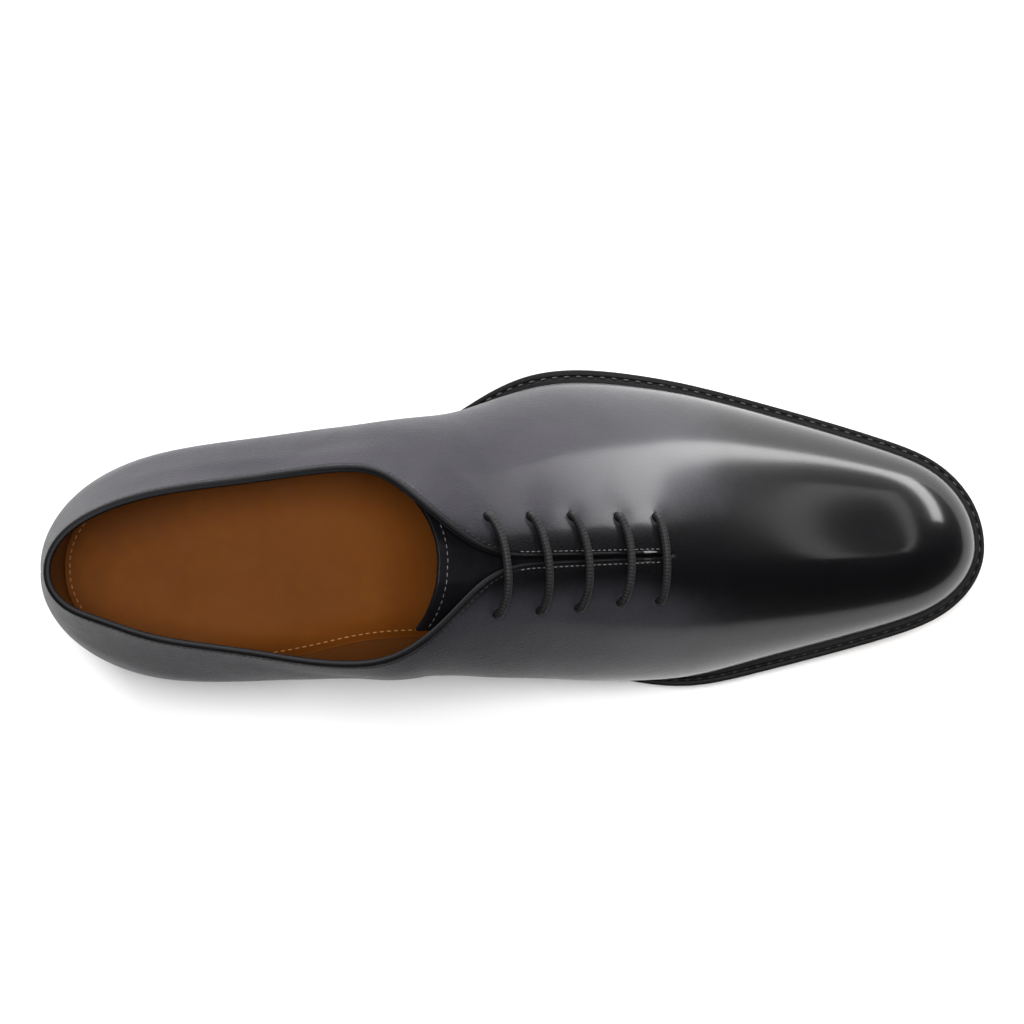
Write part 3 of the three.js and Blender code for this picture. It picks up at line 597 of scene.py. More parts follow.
def tongueCalf():
    f = Finish("tongueCalf")
    cloud, fibre = f.noise(60, 4), f.noise(950, 3)
    colour = f.blend(f.step(cloud, 0.3, 0.7), (0.0020, 0.0020, 0.0027), (0.0042, 0.0042, 0.0054))
    normal = f.bump(f.step(f.cells(2200), 0, 0.75) * 0.5 + fibre * 0.5, 0.00007, 0.8)
    return f.close(Base_Color=colour, Roughness=0.45 + (fibre - 0.5) * 0.12, Normal=normal,
                   Specular_IOR_Level=0.1)


def waxedEdge(name, dark, light, roughness):
    f = Finish(name)
    streak, speck = f.noise(1.0, 5, (60, 60, 1800)), f.noise(700, 4)
    colour = f.blend(f.step(streak, 0.35, 0.7), dark, light)
    colour = f.blend(f.step(speck, 0.62, 0.8, 0, 0.4), colour, [2.2 * c for c in light])
    normal = f.bump(streak * 0.5 + speck * 0.5, 0.00012, 0.7)
    return f.close(Base_Color=colour, Roughness=roughness + (speck - 0.5) * 0.16, Normal=normal,
                   Specular_IOR_Level=0.12)


def soleUnderside():
    f = Finish("soleUnderside")
    x = f.node("ShaderNodeSeparateXYZ", None, {"Vector": f.place()}, output="X")
    cloud, fibre, scuff = f.noise(30, 5), f.noise(800, 4), f.noise(8, 6, (9, 60, 9))
    tan = f.blend(f.step(cloud, 0.3, 0.7), *soleTan["clouds"])
    tan = f.blend(f.step(scuff, 0.58, 0.72, 0, 0.5), tan, soleTan["scuff"])
    colour = f.blend(f.step(x + (cloud - 0.5) * 0.004, *soleTan["waistEnd"]), soleTan["waist"], tan)
    return f.close(Base_Color=colour, Roughness=soleTan["roughness"] + (fibre - 0.5) * 0.2,
                   Normal=f.bump(fibre, soleTan["depth"], 0.7))


def plain(name, first, second, scale, detail, span, roughness, swing, depth, strength):
    f = Finish(name)
    grain = f.noise(scale, detail)
    return f.close(Base_Color=f.blend(f.step(grain, *span), first, second),
                   Roughness=(grain - 0.5) * swing + roughness, Normal=f.bump(grain, depth, strength))


def braidedCotton():
    f = Finish("waxedBraid")
    turn, run = f.mark("turn") * strands["turns"], f.mark("run") * strands["pitch"]
    weave = f.sine(turn + run) * f.sine(turn - run)
    fluff = f.noise(3200, 3)
    # painted shade: darker where the weave sinks into the grooves between strands, lighter on their
    # raised tops
    colour = f.blend(f.step(weave, -0.7, 0.5), *strands["colours"])
    colour = f.blend(f.step(fluff, 0.55, 0.75, 0, 0.5), colour, strands["fluff"])
    return f.close(Base_Color=colour, Roughness=0.62 + (fluff - 0.5) * 0.2, Specular_IOR_Level=0.3,
                   Normal=f.bump(weave * 0.5 + fluff * 0.6, 0.00010, 0.9))


finishes = {"upper": calfUpper(), "lining": tanLining(), "sock": tanSock(), "tongue": tongueCalf(),
            "underside": soleUnderside(), "lace": braidedCotton()}
for name, row in waxedRows.items():
    finishes[name] = waxedEdge(name, *row)
for name, row in plainRows.items():
    finishes[name] = plain(name, *row)
print("finishes made:", len(finishes))


# Upper: an outer skin of calf and an inner skin of lining over one grid

upperCut = {
    "stations": 480,
    "edgeRows": (0, 0.24, 0.48, 0.71, 0.95),
    "beadRows": (1.3, 1.7, 2.05, 2.35, 2.6, 2.85, 3.2, 3.8, 4.8, 6.4),
    "wallRows": 40,
    "bendRows": 5,
    "flangeRows": 4,
    "bead": 2.3,
    "facingBead": 1.15,
    "beadHeight": 0.26,
    "beadSlope": 0.45,
    "facingStart": (0.42, 0.49),
    "seat": 0.2,
    "seatWidth": 0.3,
    "eyelet": 3.3,
    "eyeletSides": 28,
    "punchDepth": 9,
    "dimple": 0.14,
    "dimpleWidth": 3.4,
    "slitClose": (0.635, 0.65),
    "edgeFade": (0, 0.35, 0.7, 0.9, 1.0),
    "foldReach": (60, 30),
    "ridgeBlend": (0, 9),
}

# soft folds: rim share, side, distance down from the top, half length, half width, tilt, height
foldRows = [
    (0.215, 1, 12.0, 34, 4.2, -6, 0.30),
    (0.330, 1, 17.0, 26, 5.5, 18, -0.32),
    (0.300, -1, 15.0, 26, 5.0, 14, -0.30),
    (0.110, 1, 30.0, 30, 5.0, 4, 0.22),
    (0.110, -1, 30.0, 30, 5.0, 4, 0.22),
]


# how dark each zone is burnished, how wide it is and where it starts and ends
burnishing = {
    "toe": (178, 262),
    "toeBow": 0.35,
    "facing": 0.9,
    "facingWidth": 13,
    "facingStart": (0.40, 0.50),
    "facingEnd": (0.80, 0.66),
    "ridge": 0.85,
    "ridgeWidth": 17,
    "ridgeStart": (0.58, 0.70),
    "rim": 0.85,
    "rimWidth": 3.2,
    "feather": 0.7,
    "featherHeight": 4.5,
    "back": 0.45,
    "backSpan": (34, 4),
    "leastPolish": 0.04,
    "polish": (135, 225),
    "slitClose": (0.625, 0.645),
}

eyelets = [(skinPoint(rimAngle(lateralAt), lateral * sole["ballWidth"]),
            skinPoint(-rimAngle(medialAt), medial * sole["ballWidth"]))
           for lateralAt, medialAt, lateral, medial, bow in barRows]


def skinGrid():
    cut = upperCut
    count = cut["stations"]
    angles = ringAngles(count)
    corners = sideCorners(angles)
    steps, lengths = lengthFromTop(corners)
    whole = lengths[:, -1]
    near = np.array([*cut["edgeRows"], *cut["beadRows"]])
    down = np.linspace(0, 1, cut["wallRows"] + 1)[1:] ** 0.94
    distances = np.array([[*near, *(near[-1] + (total - near[-1]) * down)] for total in whole])
    t = np.array([np.interp(distances[i], lengths[i], steps) for i in range(count)])
    wall = bezier(corners, t).transpose(1, 0, 2)
    wall[0, isWelded(angles), 1] = 0
    # lasted under: a round bend, then the flat flange
    radius = form["lastedRadius"]
    lasted = [(depth, rise) for rise, depth in roundEdge(radius, cut["bendRows"])]
    lasted += [(depth, 0) for depth in np.linspace(radius, form["flange"], cut["flangeRows"])[1:]]
    margin = footMargin(angles)
    foot = [ring(angles, margin + depth, soleTop, form["gap"] + rise) for depth, rise in lasted]
    beyond = whole[:, None] + 3 + np.arange(len(lasted))
    return angles, np.concatenate([wall, foot]), np.concatenate([distances, beyond], 1).T


def gridNormals(grid, faces, weld):
    flat = grid.reshape(-1, 3)
    normals = np.zeros_like(flat)
    quads = weld[np.array(faces)]
    across = np.cross(flat[quads[:, 2]] - flat[quads[:, 0]], flat[quads[:, 3]] - flat[quads[:, 1]])
    for k in range(4):
        np.add.at(normals, quads[:, k], across)
    normals = normals[weld]
    lengths = np.linalg.norm(normals, axis=1, keepdims=True)
    return (normals / np.maximum(lengths, 1e-9)).reshape(grid.shape)


def skinRelief(angles, grid, distances):
    cut = upperCut
    share = rimShare(angles)
    openEdge = np.where(isWelded(angles), 0, 1 - smooth(*cut["slitClose"], share))
    width = cut["bead"] + (cut["facingBead"] - cut["bead"]) * smooth(*cut["facingStart"], share)
    raised = cut["beadHeight"] * (1 - smooth(width - cut["beadSlope"], width, distances))
    raised = raised - cut["seat"] * np.exp(-((distances - width - 0.2) / cut["seatWidth"]) ** 2)
    relief = raised * openEdge
    for pair in eyelets:
        for place, outward in pair:
            away = np.linalg.norm(grid - place, axis=2)
            relief = relief - cut["dimple"] * np.exp(-(away / cut["dimpleWidth"]) ** 2)
    for at, side, drop, halfLong, halfWide, tilt, high in foldRows:
        centre = skinPoint(side * rimAngle(at), drop)[0]
        slant = math.radians(tilt)
        along = grid[..., 0] - centre[0, 0]
        below = (distances - drop) * np.where(np.sign(angles) == side, 1, -1) + 0 * along
        far = along * math.cos(slant) + below * math.sin(slant)
        near = below * math.cos(slant) - along * math.sin(slant)
        here = smooth(*cut["foldReach"], np.linalg.norm(grid - centre, axis=2))
        relief = relief + here * high * np.exp(-(far / halfLong) ** 2 - (near / halfWide) ** 2)
    return relief


def upperMarks(angles, grid, distances):
    cut = burnishing
    share = np.broadcast_to(rimShare(angles), distances.shape)
    x, y, z = grid[..., 0], grid[..., 1], grid[..., 2]
    toe = smooth(*cut["toe"], x + cut["toeBow"] * np.abs(y))
    facing = cut["facing"] * np.exp(-(distances / cut["facingWidth"]) ** 2)
    facing = facing * smooth(*cut["facingStart"], share) * smooth(*cut["facingEnd"], share)
    ridge = cut["ridge"] * np.exp(-(distances / cut["ridgeWidth"]) ** 2)
    ridge = ridge * smooth(*cut["ridgeStart"], share)
    rim = np.where(isWelded(angles), 0, cut["rim"] * np.exp(-(distances / cut["rimWidth"]) ** 2))
    height = np.maximum(z - soleTop(x) - footRise, 0)
    feather = cut["feather"] * np.exp(-(height / cut["featherHeight"]) ** 2)
    clear = 1 - toe
    for zone in (facing, ridge, rim, feather, cut["back"] * smooth(*cut["backSpan"], x)):
        clear = clear * (1 - zone)
    polish = cut["leastPolish"] + (1 - cut["leastPolish"]) * smooth(*cut["polish"], x)
    edge = distances + 90 * smooth(*cut["slitClose"], share)  # no worn edge where the slit closes
    return 1 - clear, polish, edge


def makeUpper():
    cut = upperCut
    angles, outer, distances = skinGrid()
    rows, count = outer.shape[:2]
    welded = isWelded(angles)
    mirror = (count - np.arange(count)) % count
    faces = gridFaces(rows, count, closed=True)
    weld = np.arange(rows * count)
    weld[:count] = np.where(welded, np.minimum(np.arange(count), mirror), np.arange(count))
    normals = gridNormals(outer, faces, weld)
    inner = outer - normals * form["wall"]
    # over the open edge both skins follow one half round
    last = len(cut["edgeRows"]) - 1
    middle = (outer[last] + inner[last]) / 2
    rise = unit(outer[0] - outer[last])
    opened = np.where(~welded)[0]
    for k in range(last + 1):
        turn = math.pi / 2 * (1 - k / last)
        lift = rise[opened] * math.sin(turn) * form["wall"] / 2
        lean = normals[last, opened] * math.cos(turn) * form["wall"] / 2
        outer[k, opened] = middle[opened] + lift + lean
        inner[k, opened] = middle[opened] + lift - lean
    relief = skinRelief(angles, outer, distances)
    fade = np.array(cut["edgeFade"])[:, None]
    relief[:last + 1] = np.where(welded, relief[:last + 1], relief[:last + 1] * fade)
    # both sides share the ridge of the vamp, so their relief meets there
    both = (relief + relief[:, mirror]) / 2
    apart = (relief - both) * smooth(*cut["ridgeBlend"], distances)
    relief = np.where(welded, both + apart, relief)
    burnish, polish, edge = upperMarks(angles, outer, distances)
    outer = outer + normals * relief[..., None]
    points = np.concatenate([outer.reshape(-1, 3), inner.reshape(-1, 3)])
    offset = rows * count
    innerFaces = [tuple(offset + i for i in face[::-1]) for face in faces]
    bottom = [((rows - 1) * count + k, (rows - 1) * count + (k + 1) % count) for k in range(count)]
    flange = [(a, b, offset + b, offset + a) for a, b in bottom]
    throat = []
    for k in range(count):
        following = (k + 1) % count
        if welded[k] != welded[following]:
            opening, closing = (following, k) if welded[k] else (k, following)
            throat.append((opening, closing, offset + closing))
    allFaces = faces + innerFaces + flange + throat
    places = [0] * len(faces) + [1] * len(innerFaces) + [0] * (len(flange) + len(throat))
    lowInner = (last + 1) * count
    for index in range(len(faces), len(faces) + lowInner):
        places[index] = 0
    marks = {"burnish": np.tile(burnish.ravel(), 2), "polish": np.tile(polish.ravel(), 2),
             "edgeDistance": np.tile(edge.ravel(), 2)}
    return newMesh("calf_upper", points, allFaces, marks, places)


def punchEyelets(piece):
    cut = upperCut
    for place, normal in [side for pair in eyelets for side in pair]:
        turn = Vector(normal[0]).to_track_quat("Z", "Y").to_euler()
        bpy.ops.object.select_all(action="DESELECT")
        bpy.ops.mesh.primitive_cylinder_add(vertices=cut["eyeletSides"], radius=cut["eyelet"] / 2000,
                                            depth=cut["punchDepth"] / 1000,
                                            location=toFrame(place[0]), rotation=turn)
        punch = bpy.context.object
        applyModifier(piece, "BOOLEAN", operation="DIFFERENCE", object=punch, solver="EXACT")
        bpy.data.objects.remove(punch)


upperPiece = makeUpper()
dress(upperPiece, finishes["upper"], finishes["lining"], slot="upper_calf", replaces=("upper",))
punchEyelets(upperPiece)
smoothBy(upperPiece, 42)
print("upper made:", len(upperPiece.data.polygons), "faces")


# Stitches: one small capsule is modelled, and each row is copies of it joined in one mesh

def modelStitch(length, thick):
    bpy.ops.object.select_all(action="DESELECT")
    bpy.ops.mesh.primitive_uv_sphere_add(segments=8, ring_count=6, radius=1)
    model = bpy.context.object
    bpy.ops.object.mode_set(mode="EDIT")
    bpy.ops.mesh.select_all(action="SELECT")
    bpy.ops.transform.rotate(value=math.pi / 2, orient_axis="Y", center_override=(0, 0, 0))
    bpy.ops.transform.resize(value=(length / 2, thick / 2, thick / 2), center_override=(0, 0, 0))
    bpy.ops.object.mode_set(mode="OBJECT")
    points = np.array([vertex.co for vertex in model.data.vertices])
    faces = [tuple(polygon.vertices) for polygon in model.data.polygons]
    bpy.data.objects.remove(model)
    points[:, 0] = np.clip(points[:, 0] * 1.25, -length / 2, length / 2)
    return points, faces


def upwards(path):
    return np.tile([0.0, 0.0, 1.0], (len(path), 1))


def layStitches(name, path, ups, cut, finish):
    run = runLengths(path)
    count = max(int(run[-1] / cut["pitch"]), 1)
    length = cut["pitch"] * cut["share"]
    model, modelFaces = modelStitch(length, cut["thick"])
    middles = (np.arange(count) + 0.5) * run[-1] / count
    before, here, after = [placesAlong(middles + away, run, path) for away in (-0.5, 0, 0.5)]
    along = unit(after - before)
    side = unit(np.cross(placesAlong(middles, run, ups), along))
    ways = np.stack([along, side, np.cross(along, side)], 1)
    bowed = model.copy()
    bowed[:, 2] += cut["lift"] - cut["dip"] * (model[:, 0] / (length / 2)) ** 2
    points = (here[:, None] + bowed @ ways).reshape(-1, 3)
    faces = [tuple(start + i for i in face)
             for start in range(0, len(points), len(model)) for face in modelFaces]
    piece = newMesh(name, points, faces, merge=0.000001)
    bpy.ops.object.shade_smooth()
    dress(piece, finish)


# drop is how far a row lies from the edge, as a share of the breadth on the welt; share is how
# much of its pitch one stitch takes; rows on the upper run between two rim shares
stitching = {
    "facing": {"drop": 1.75, "pitch": 1.9, "share": 0.68, "thick": 0.34, "lift": -0.02, "dip": 0.1,
               "between": (0.495, 0.642)},
    "collar": {"drop": 3.1, "pitch": 2.0, "share": 0.66, "thick": 0.3, "lift": -0.03, "dip": 0.1,
               "between": (0.485, 0.0), "leavesFacing": (0.49, 0.42)},
    "welt": {"drop": 0.46, "pitch": 3.9, "share": 0.62, "thick": 0.85, "lift": 0, "dip": 0.25},
    "sock": {"drop": 1.7, "pitch": 2.3, "share": 0.66, "thick": 0.5, "lift": 0, "dip": 0.12},
    "tongue": {"drop": 3.0, "pitch": 2.1, "share": 0.66, "thick": 0.36, "lift": 0, "dip": 0.1},
}
facingRow, collarRow = stitching["facing"], stitching["collar"]
for side, word in ((1, "lateral"), (-1, "medial")):
    path, ups = skinPoint(side * rimAngle(np.linspace(*facingRow["between"], 160)), facingRow["drop"])
    layStitches(f"facing_stitches_{word}", path, ups, facingRow, finishes["greyThread"])
lateralHalf = rimAngle(np.linspace(*collarRow["between"], 260))
around = np.concatenate([lateralHalf, -lateralHalf[-2::-1]])
lower = (collarRow["drop"] - facingRow["drop"]) * smooth(*collarRow["leavesFacing"], rimShare(around))
path, ups = skinPoint(around, facingRow["drop"] + lower)
layStitches("collar_stitches", path, ups, collarRow, finishes["blackThread"])
print("upper stitched")


# Sole, heel and welt: rings inside the outline, one above another

def plate(name, rings, marks=None):
    # the rings run from the middle of the underside over the edge to the middle of the top
    count = len(rings[0])
    faces = gridFaces(len(rings), count, closed=True)
    caps = []
    for level, turned in ((0, False), (len(rings) - 1, True)):
        for k in range(count // 2):
            across = (count - k) % count
            corners = [level * count + i for i in (k, k + 1, count - k - 1, across)]
            corners = list(dict.fromkeys(corners))
            if len(corners) > 2:
                caps.append(tuple(corners[::-1] if turned else corners))
    return newMesh(name, np.concatenate(rings), faces + caps, marks)


# rows of a section: distance in from the edge, and rise over the height they are counted from.
# A shallow channel runs round the underside inside the edge.
soleCut = {
    "under": [(14, 0), (8, 0), (4.5, 0), (3.2, 0), (2.9, 0.12), (2.6, 0)],
    "corner": 0.9,
    "over": [(0, -1.6), (0.18, -0.55), (0.4, -0.1), (0.9, 0), (4, 0), (9, 0), (14, 0)],
}
heelCut = {
    "lifts": 3,
    "liftCorner": 0.21,
    "parting": 0.105,
    "treadCorner": 0.8,
    "tread": [(0, 3.2), (0.22, 3.35), (0.22, 3.6), (0, 3.75), (0, 5.8), (0.2, 6), (4, 6)],
}


def makeOutsole():
    angles = ringAngles(400)
    under = soleCut["under"] + roundEdge(soleCut["corner"], 4)
    rings = [ring(angles, inset, soleBottom, rise) for inset, rise in under]
    rings += [ring(angles, inset, soleTop, rise) for inset, rise in soleCut["over"]]
    piece = plate("leather_outsole", rings)
    smoothBy(piece, 35)
    dress(piece, finishes["soleEdge"], finishes["underside"], slot="sole_leather", replaces=("outsole",))
    for polygon in piece.data.polygons:
        polygon.material_index = 1 if polygon.normal.z < -0.75 else 0


def makeHeel():
    cut, gap = heelCut, form["gap"]
    angles = ringAngles(161, float(rimAngle(sole["heelLength"] / sole["length"])))
    stack = sole["topPiece"] + gap
    low, high = roundEdge(cut["liftCorner"], 3), roundEdge(cut["liftCorner"], 3, bottom=False)

    def level(share):
        return lambda x: stack + (soleBottom(x) - gap - stack) * share

    def inset(share):
        return gap + sole["heelTaper"] * (1 - share)

    for index in range(cut["lifts"]):
        below, above = index / cut["lifts"], (index + 1) / cut["lifts"]
        parting = 0 if index == cut["lifts"] - 1 else cut["parting"]
        rings = [ring(angles, inset(below) + depth, level(below), rise)
                 for depth, rise in [(3, 0)] + low]
        rings += [ring(angles, inset(above) + depth, level(above), rise - parting)
                  for depth, rise in high + [(3, 0)]]
        piece = plate(f"stacked_lift_{index + 1}", rings)
        smoothBy(piece, 35)
        dress(piece, finishes["heelLeather"], slot="heel_leather", replaces=(f"heel_lift_{index + 1}",))
    rows = [(4, 0)] + roundEdge(cut["treadCorner"], 4) + cut["tread"]
    rings = [ring(angles, inset(0) + depth, np.zeros_like, rise) for depth, rise in rows]
    piece = plate("rubber_top_piece", rings)
    smoothBy(piece, 35)
    dress(piece, finishes["topPieceRubber"], slot="top_piece_rubber", replaces=("top_piece",))


# round the welt's section: share of its breadth, height over its foot
weltCut = {
    "foot": 0.12,
    "stitchHeight": 2.45,
    "section": [(0.0, 0.35), (0.0, 1.35), (0.0, 2.1), (0.03, 2.45), (0.09, 2.65), (0.16, 2.7),
                (0.30, 2.7), (0.37, 2.62), (0.43, 2.25), (0.50, 2.25), (0.56, 2.62), (0.63, 2.7),
                (0.95, 2.6), (1.0, 2.2), (1.0, 0.2), (0.95, 0.0), (0.5, 0.0), (0.06, 0.0)],
}


def makeWelt():
    cut = weltCut
    start = float(rimAngle(form["weltStart"]))
    angles = np.linspace(start, 2 * math.pi - start, 520)
    margin = footMargin(angles) - form["gap"]
    count = len(cut["section"])
    grid = np.stack([ring(angles, margin * share, soleTop, cut["foot"] + rise)
                     for share, rise in cut["section"]], 1)
    faces = gridFaces(len(angles), count, closed=True)
    ends = [tuple(range(count)), tuple((len(angles) - 1) * count + k for k in range(count))[::-1]]
    piece = newMesh("stitched_welt", grid.reshape(-1, 3), faces + ends, merge=0.000005)
    smoothBy(piece, 40)
    dress(piece, finishes["weltLeather"], slot="welt_leather", replaces=("welt",))
    path = ring(angles, margin * stitching["welt"]["drop"], soleTop, cut["foot"] + cut["stitchHeight"])
    path = path[6:-6]
    layStitches("welt_stitches", path, upwards(path), stitching["welt"], finishes["blackThread"])


makeOutsole()
makeHeel()
makeWelt()
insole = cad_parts["insole"].data
insole.materials.clear()
insole.materials.append(finishes["insoleLeather"])
print("sole, heel and welt made")


# Sock: it lies flat and turns up against the lining along the arch. Rows are counted from its
# edge inward, with the drop below its blended surface.

sockCut = {
    "bottom": 5.2,
    "top": 6.4,
    "edgeRise": 0.5,
    "archRise": 5.6,
    "clear": 0.45,
    "blendWidth": 11,
    "middle": 18,
    "stitchLift": 0.02,
    "archStart": (0.10, 0.24),
    "archEnd": (0.54, 0.42),
    "under": (11, 6, 2.5, 0.6),
    "over": [(0.1, 0.9), (0.0, 0.6), (0.08, 0.25), (0.3, 0.06), (0.7, 0.0), (1.3, 0.03), (1.7, 0.09),
             (2.1, 0.02), (2.8, 0.0), (4, 0), (6, 0), (8.5, 0), (11, 0)],
}


def liningPoint(angles, height):  # places on the inside of the upper at a height above the sole
    corners = sideCorners(angles)
    t = np.linspace(0, 1, 160)
    points = bezier(corners, np.broadcast_to(t, (len(angles), len(t))))
    target = soleTop(corners[:, 0, 0]) + height
    at = np.array([np.interp(target[i], points[i, :, 2], t) for i in range(len(angles))])[:, None]
    here = bezier(corners, at)[:, 0]
    along = bezier(sideCorners(angles + 0.004), at)[:, 0] - bezier(sideCorners(angles - 0.004), at)[:, 0]
    out = unit(np.column_stack([-along[:, 1], along[:, 0]]))
    return here[:, :2] - out * (form["wall"] + sockCut["clear"]), here[:, 2]


def makeSock():
    cut = sockCut
    angles = ringAngles(420)
    share = rimShare(angles)
    arch = smooth(*cut["archStart"], share) * smooth(*cut["archEnd"], share) * (angles < 0)
    rise = cut["edgeRise"] + cut["archRise"] * arch
    rimPlan, rimHeight = liningPoint(angles, cut["top"] + rise)
    deep = insetPoint(angles, footMargin(angles) + form["lastedRadius"] + cut["blendWidth"])
    deepHeight = soleTop(deep[:, 0]) + cut["top"]

    def between(inward, drop):
        f = inward / cut["blendWidth"]
        plan = rimPlan + (deep - rimPlan) * f
        height = deepHeight + (rimHeight - deepHeight) * (1 - f) ** 2
        flat = soleTop(plan[:, 0]) + cut["top"]
        return np.column_stack([plan, flat + (height - flat) * (1 - f) ** 0.5 - drop])

    rows = [(inward, cut["top"] - cut["bottom"]) for inward in cut["under"]] + cut["over"]
    rings = [between(inward, drop) for inward, drop in rows]
    rings.append(ring(angles, footMargin(angles) + cut["middle"], soleTop, cut["top"]))
    rims = np.repeat([float(row[0]) for row in rows] + [cut["middle"]], len(angles))
    piece = plate("leather_sock", rings, {"rimDistance": rims})
    smoothBy(piece, 50)
    dress(piece, finishes["sock"], slot="sock_leather", replaces=("sock_liner",))
    path = between(stitching["sock"]["drop"], -cut["stitchLift"])
    path = np.concatenate([path, path[:1]])
    layStitches("sock_stitches", path, upwards(path), stitching["sock"], finishes["tanThread"])


makeSock()
print("sock made")


# Tongue: a thin sheet that follows the skin at a depth and reaches back past the throat

tongueCut = {
    "thickness": 1.5,
    "halfWidth": 28,
    "front": 0.7,
    "back": 0.457,
    "frontWidth": 0.72,
    "widening": 0.5,
    "reach": 10.5,
    "lateralReach": 10.5,
    "medialReach": 8,
    "rise": 0.5,
    "settle": 7,
    "laceMargin": 0.02,
    "lengthSteps": 64,
    "reachSteps": 18,
    "acrossSteps": 56,
    "stitchLift": 0.05,
}
laceCut = {
    "diameter": 2.5,
    "lane": 3.1,
    "laneEntry": 2.2,
    "roundness": 0.8,
    "shoulder": 0.6,
    "rest": 0.12,
    "barSteps": 6,
    "runSteps": 3,
    "rings": 3200,
    "sides": 18,
    "way": ((1, -1), (3, 0), (4, 1), (2, 1), (0, 0)),  # bar, lane of the run under the leather after it
}


def tongueGrid(extra):
    cut = tongueCut
    room = laceCut["diameter"] + 2 * form["gap"]
    lines = []
    for i in range(cut["lengthSteps"] + 1):
        along = i / cut["lengthSteps"]
        share = cut["front"] + (cut["back"] - cut["front"]) * along
        ramp = smooth(0, 1, (cut["front"] - share) / (cut["front"] - barRows[-1][0] - cut["laceMargin"]))
        depth = form["wall"] + form["gap"] + (room - form["gap"]) * ramp + extra
        halfWidth = cut["halfWidth"] * min(cut["frontWidth"] + cut["widening"] * along, 1)
        offset = halfWidth * np.linspace(-1, 1, cut["acrossSteps"] + 1)
        angle = np.where(offset < 0, -1, 1) * rimAngle(share)
        slit = edgeOffset(angle)
        point, normal = skinPoint(angle, np.maximum(np.abs(offset) - slit, 0))
        point[:, 1] = np.where(np.abs(offset) < slit, offset, point[:, 1])
        normal[:, 1] *= smooth(0, slit + cut["settle"], np.abs(offset))
        lines.append(point - unit(normal) * depth)
    across = np.linspace(-1, 1, cut["acrossSteps"] + 1)
    corner = np.where(across > 0, cut["lateralReach"], cut["medialReach"]) * across ** 2
    for i in range(1, cut["reachSteps"] + 1):
        reach = (cut["reach"] + corner) * i / cut["reachSteps"]
        beyond = np.column_stack([-reach, 0 * reach, reach * cut["rise"]])
        lines.append(lines[cut["lengthSteps"]] + beyond)
    return np.array(lines)


def makeTongue():
    upper, lower = tongueGrid(0), tongueGrid(tongueCut["thickness"])
    rows, columns = upper.shape[:2]
    start = rows * columns
    faces = gridFaces(rows, columns)
    faces += [tuple(start + i for i in face[::-1]) for face in faces]
    rim = list(range(columns)) + [i * columns + columns - 1 for i in range(1, rows)]
    rim += [(rows - 1) * columns + k for k in range(columns - 2, -1, -1)]
    rim += [i * columns for i in range(rows - 2, 0, -1)]
    for a, b in zip(rim, rim[1:] + rim[:1]):
        faces.append((a, b, start + b, start + a))
    points = np.concatenate([upper, lower]).reshape(-1, 3)
    piece = newMesh("calf_tongue", points, faces, merge=0.000005)
    applyModifier(piece, "BEVEL", width=0.0005, segments=3, limit_method="ANGLE",
                  angle_limit=math.radians(50))
    smoothBy(piece, 45)
    dress(piece, finishes["tongue"], finishes["lining"], slot="tongue_calf", replaces=("tongue",))
    for polygon in piece.data.polygons:
        polygon.material_index = 1 if polygon.normal.z < -0.2 else 0
    inward = unit(upper[-2] - upper[-1])
    path = (upper[-1] + inward * stitching["tongue"]["drop"])[2:-2] + [0, 0, tongueCut["stitchLift"]]
    layStitches("tongue_stitches", path, upwards(path) + [0.4, 0, 0], stitching["tongue"],
                finishes["greyThread"])


makeTongue()
print("tongue made")


# Lace: one waxed cord through the eyelets, the second bar first, then the fourth, fifth, third
# and first. Side 0 is the lateral one.

def laceRoute():
    cut = laceCut
    radius = cut["diameter"] / 2
    above = radius + cut["rest"]
    below = -(form["wall"] + form["gap"] + radius)
    route = []

    def through(bar, side, goesUp):
        place, normal = eyelets[bar][side]
        heights = [below, -form["wall"] / 2, above * cut["shoulder"]]
        for height in heights if goesUp else heights[::-1]:
            route.append(place[0] + normal[0] * height)

    def across(bar, fromLateral):
        lateralAt, medialAt, lateral, medial, bow = barRows[bar]
        first = -lateral * sole["ballWidth"] - edgeOffset(rimAngle(lateralAt))
        last = medial * sole["ballWidth"] + edgeOffset(-rimAngle(medialAt))
        points = []
        for i in range(1, cut["barSteps"]):
            t = i / cut["barSteps"]
            offset = first + (last - first) * t
            angle = (1 if offset < 0 else -1) * rimAngle(lateralAt + (medialAt - lateralAt) * t)
            place, normal = skinPoint(angle, max(abs(offset) - edgeOffset(angle), 0))
            point = place[0] + normal[0] * above
            forward = bow * cut["diameter"] * math.sin(math.pi * t) ** cut["roundness"]
            point[0] += forward
            point[2] += forward * ridgeSlope(point[0])
            points.append(point)
        route.extend(points if fromLateral else points[::-1])

    def under(side, first, last, lane):
        steps = cut["runSteps"] * abs(last - first)
        sign = -1 if side else 1
        for i in range(1, steps):
            t = i / steps
            at = barRows[first][side] * (1 - t) + barRows[last][side] * t
            down = (barRows[first][2 + side] * (1 - t) + barRows[last][2 + side] * t) * sole["ballWidth"]
            if steps > cut["runSteps"]:
                down += lane * min(1, cut["laneEntry"] * math.sin(math.pi * t))
            place, normal = skinPoint(sign * rimAngle(at), down)
            route.append(place[0] + normal[0] * below)

    for step, (bar, lane) in enumerate(cut["way"]):
        side = step % 2
        through(bar, side, True)
        across(bar, side == 0)
        through(bar, 1 - side, False)
        if step < len(cut["way"]) - 1:
            under(1 - side, bar, cut["way"][step + 1][0], lane * cut["lane"])
    return np.array(route)


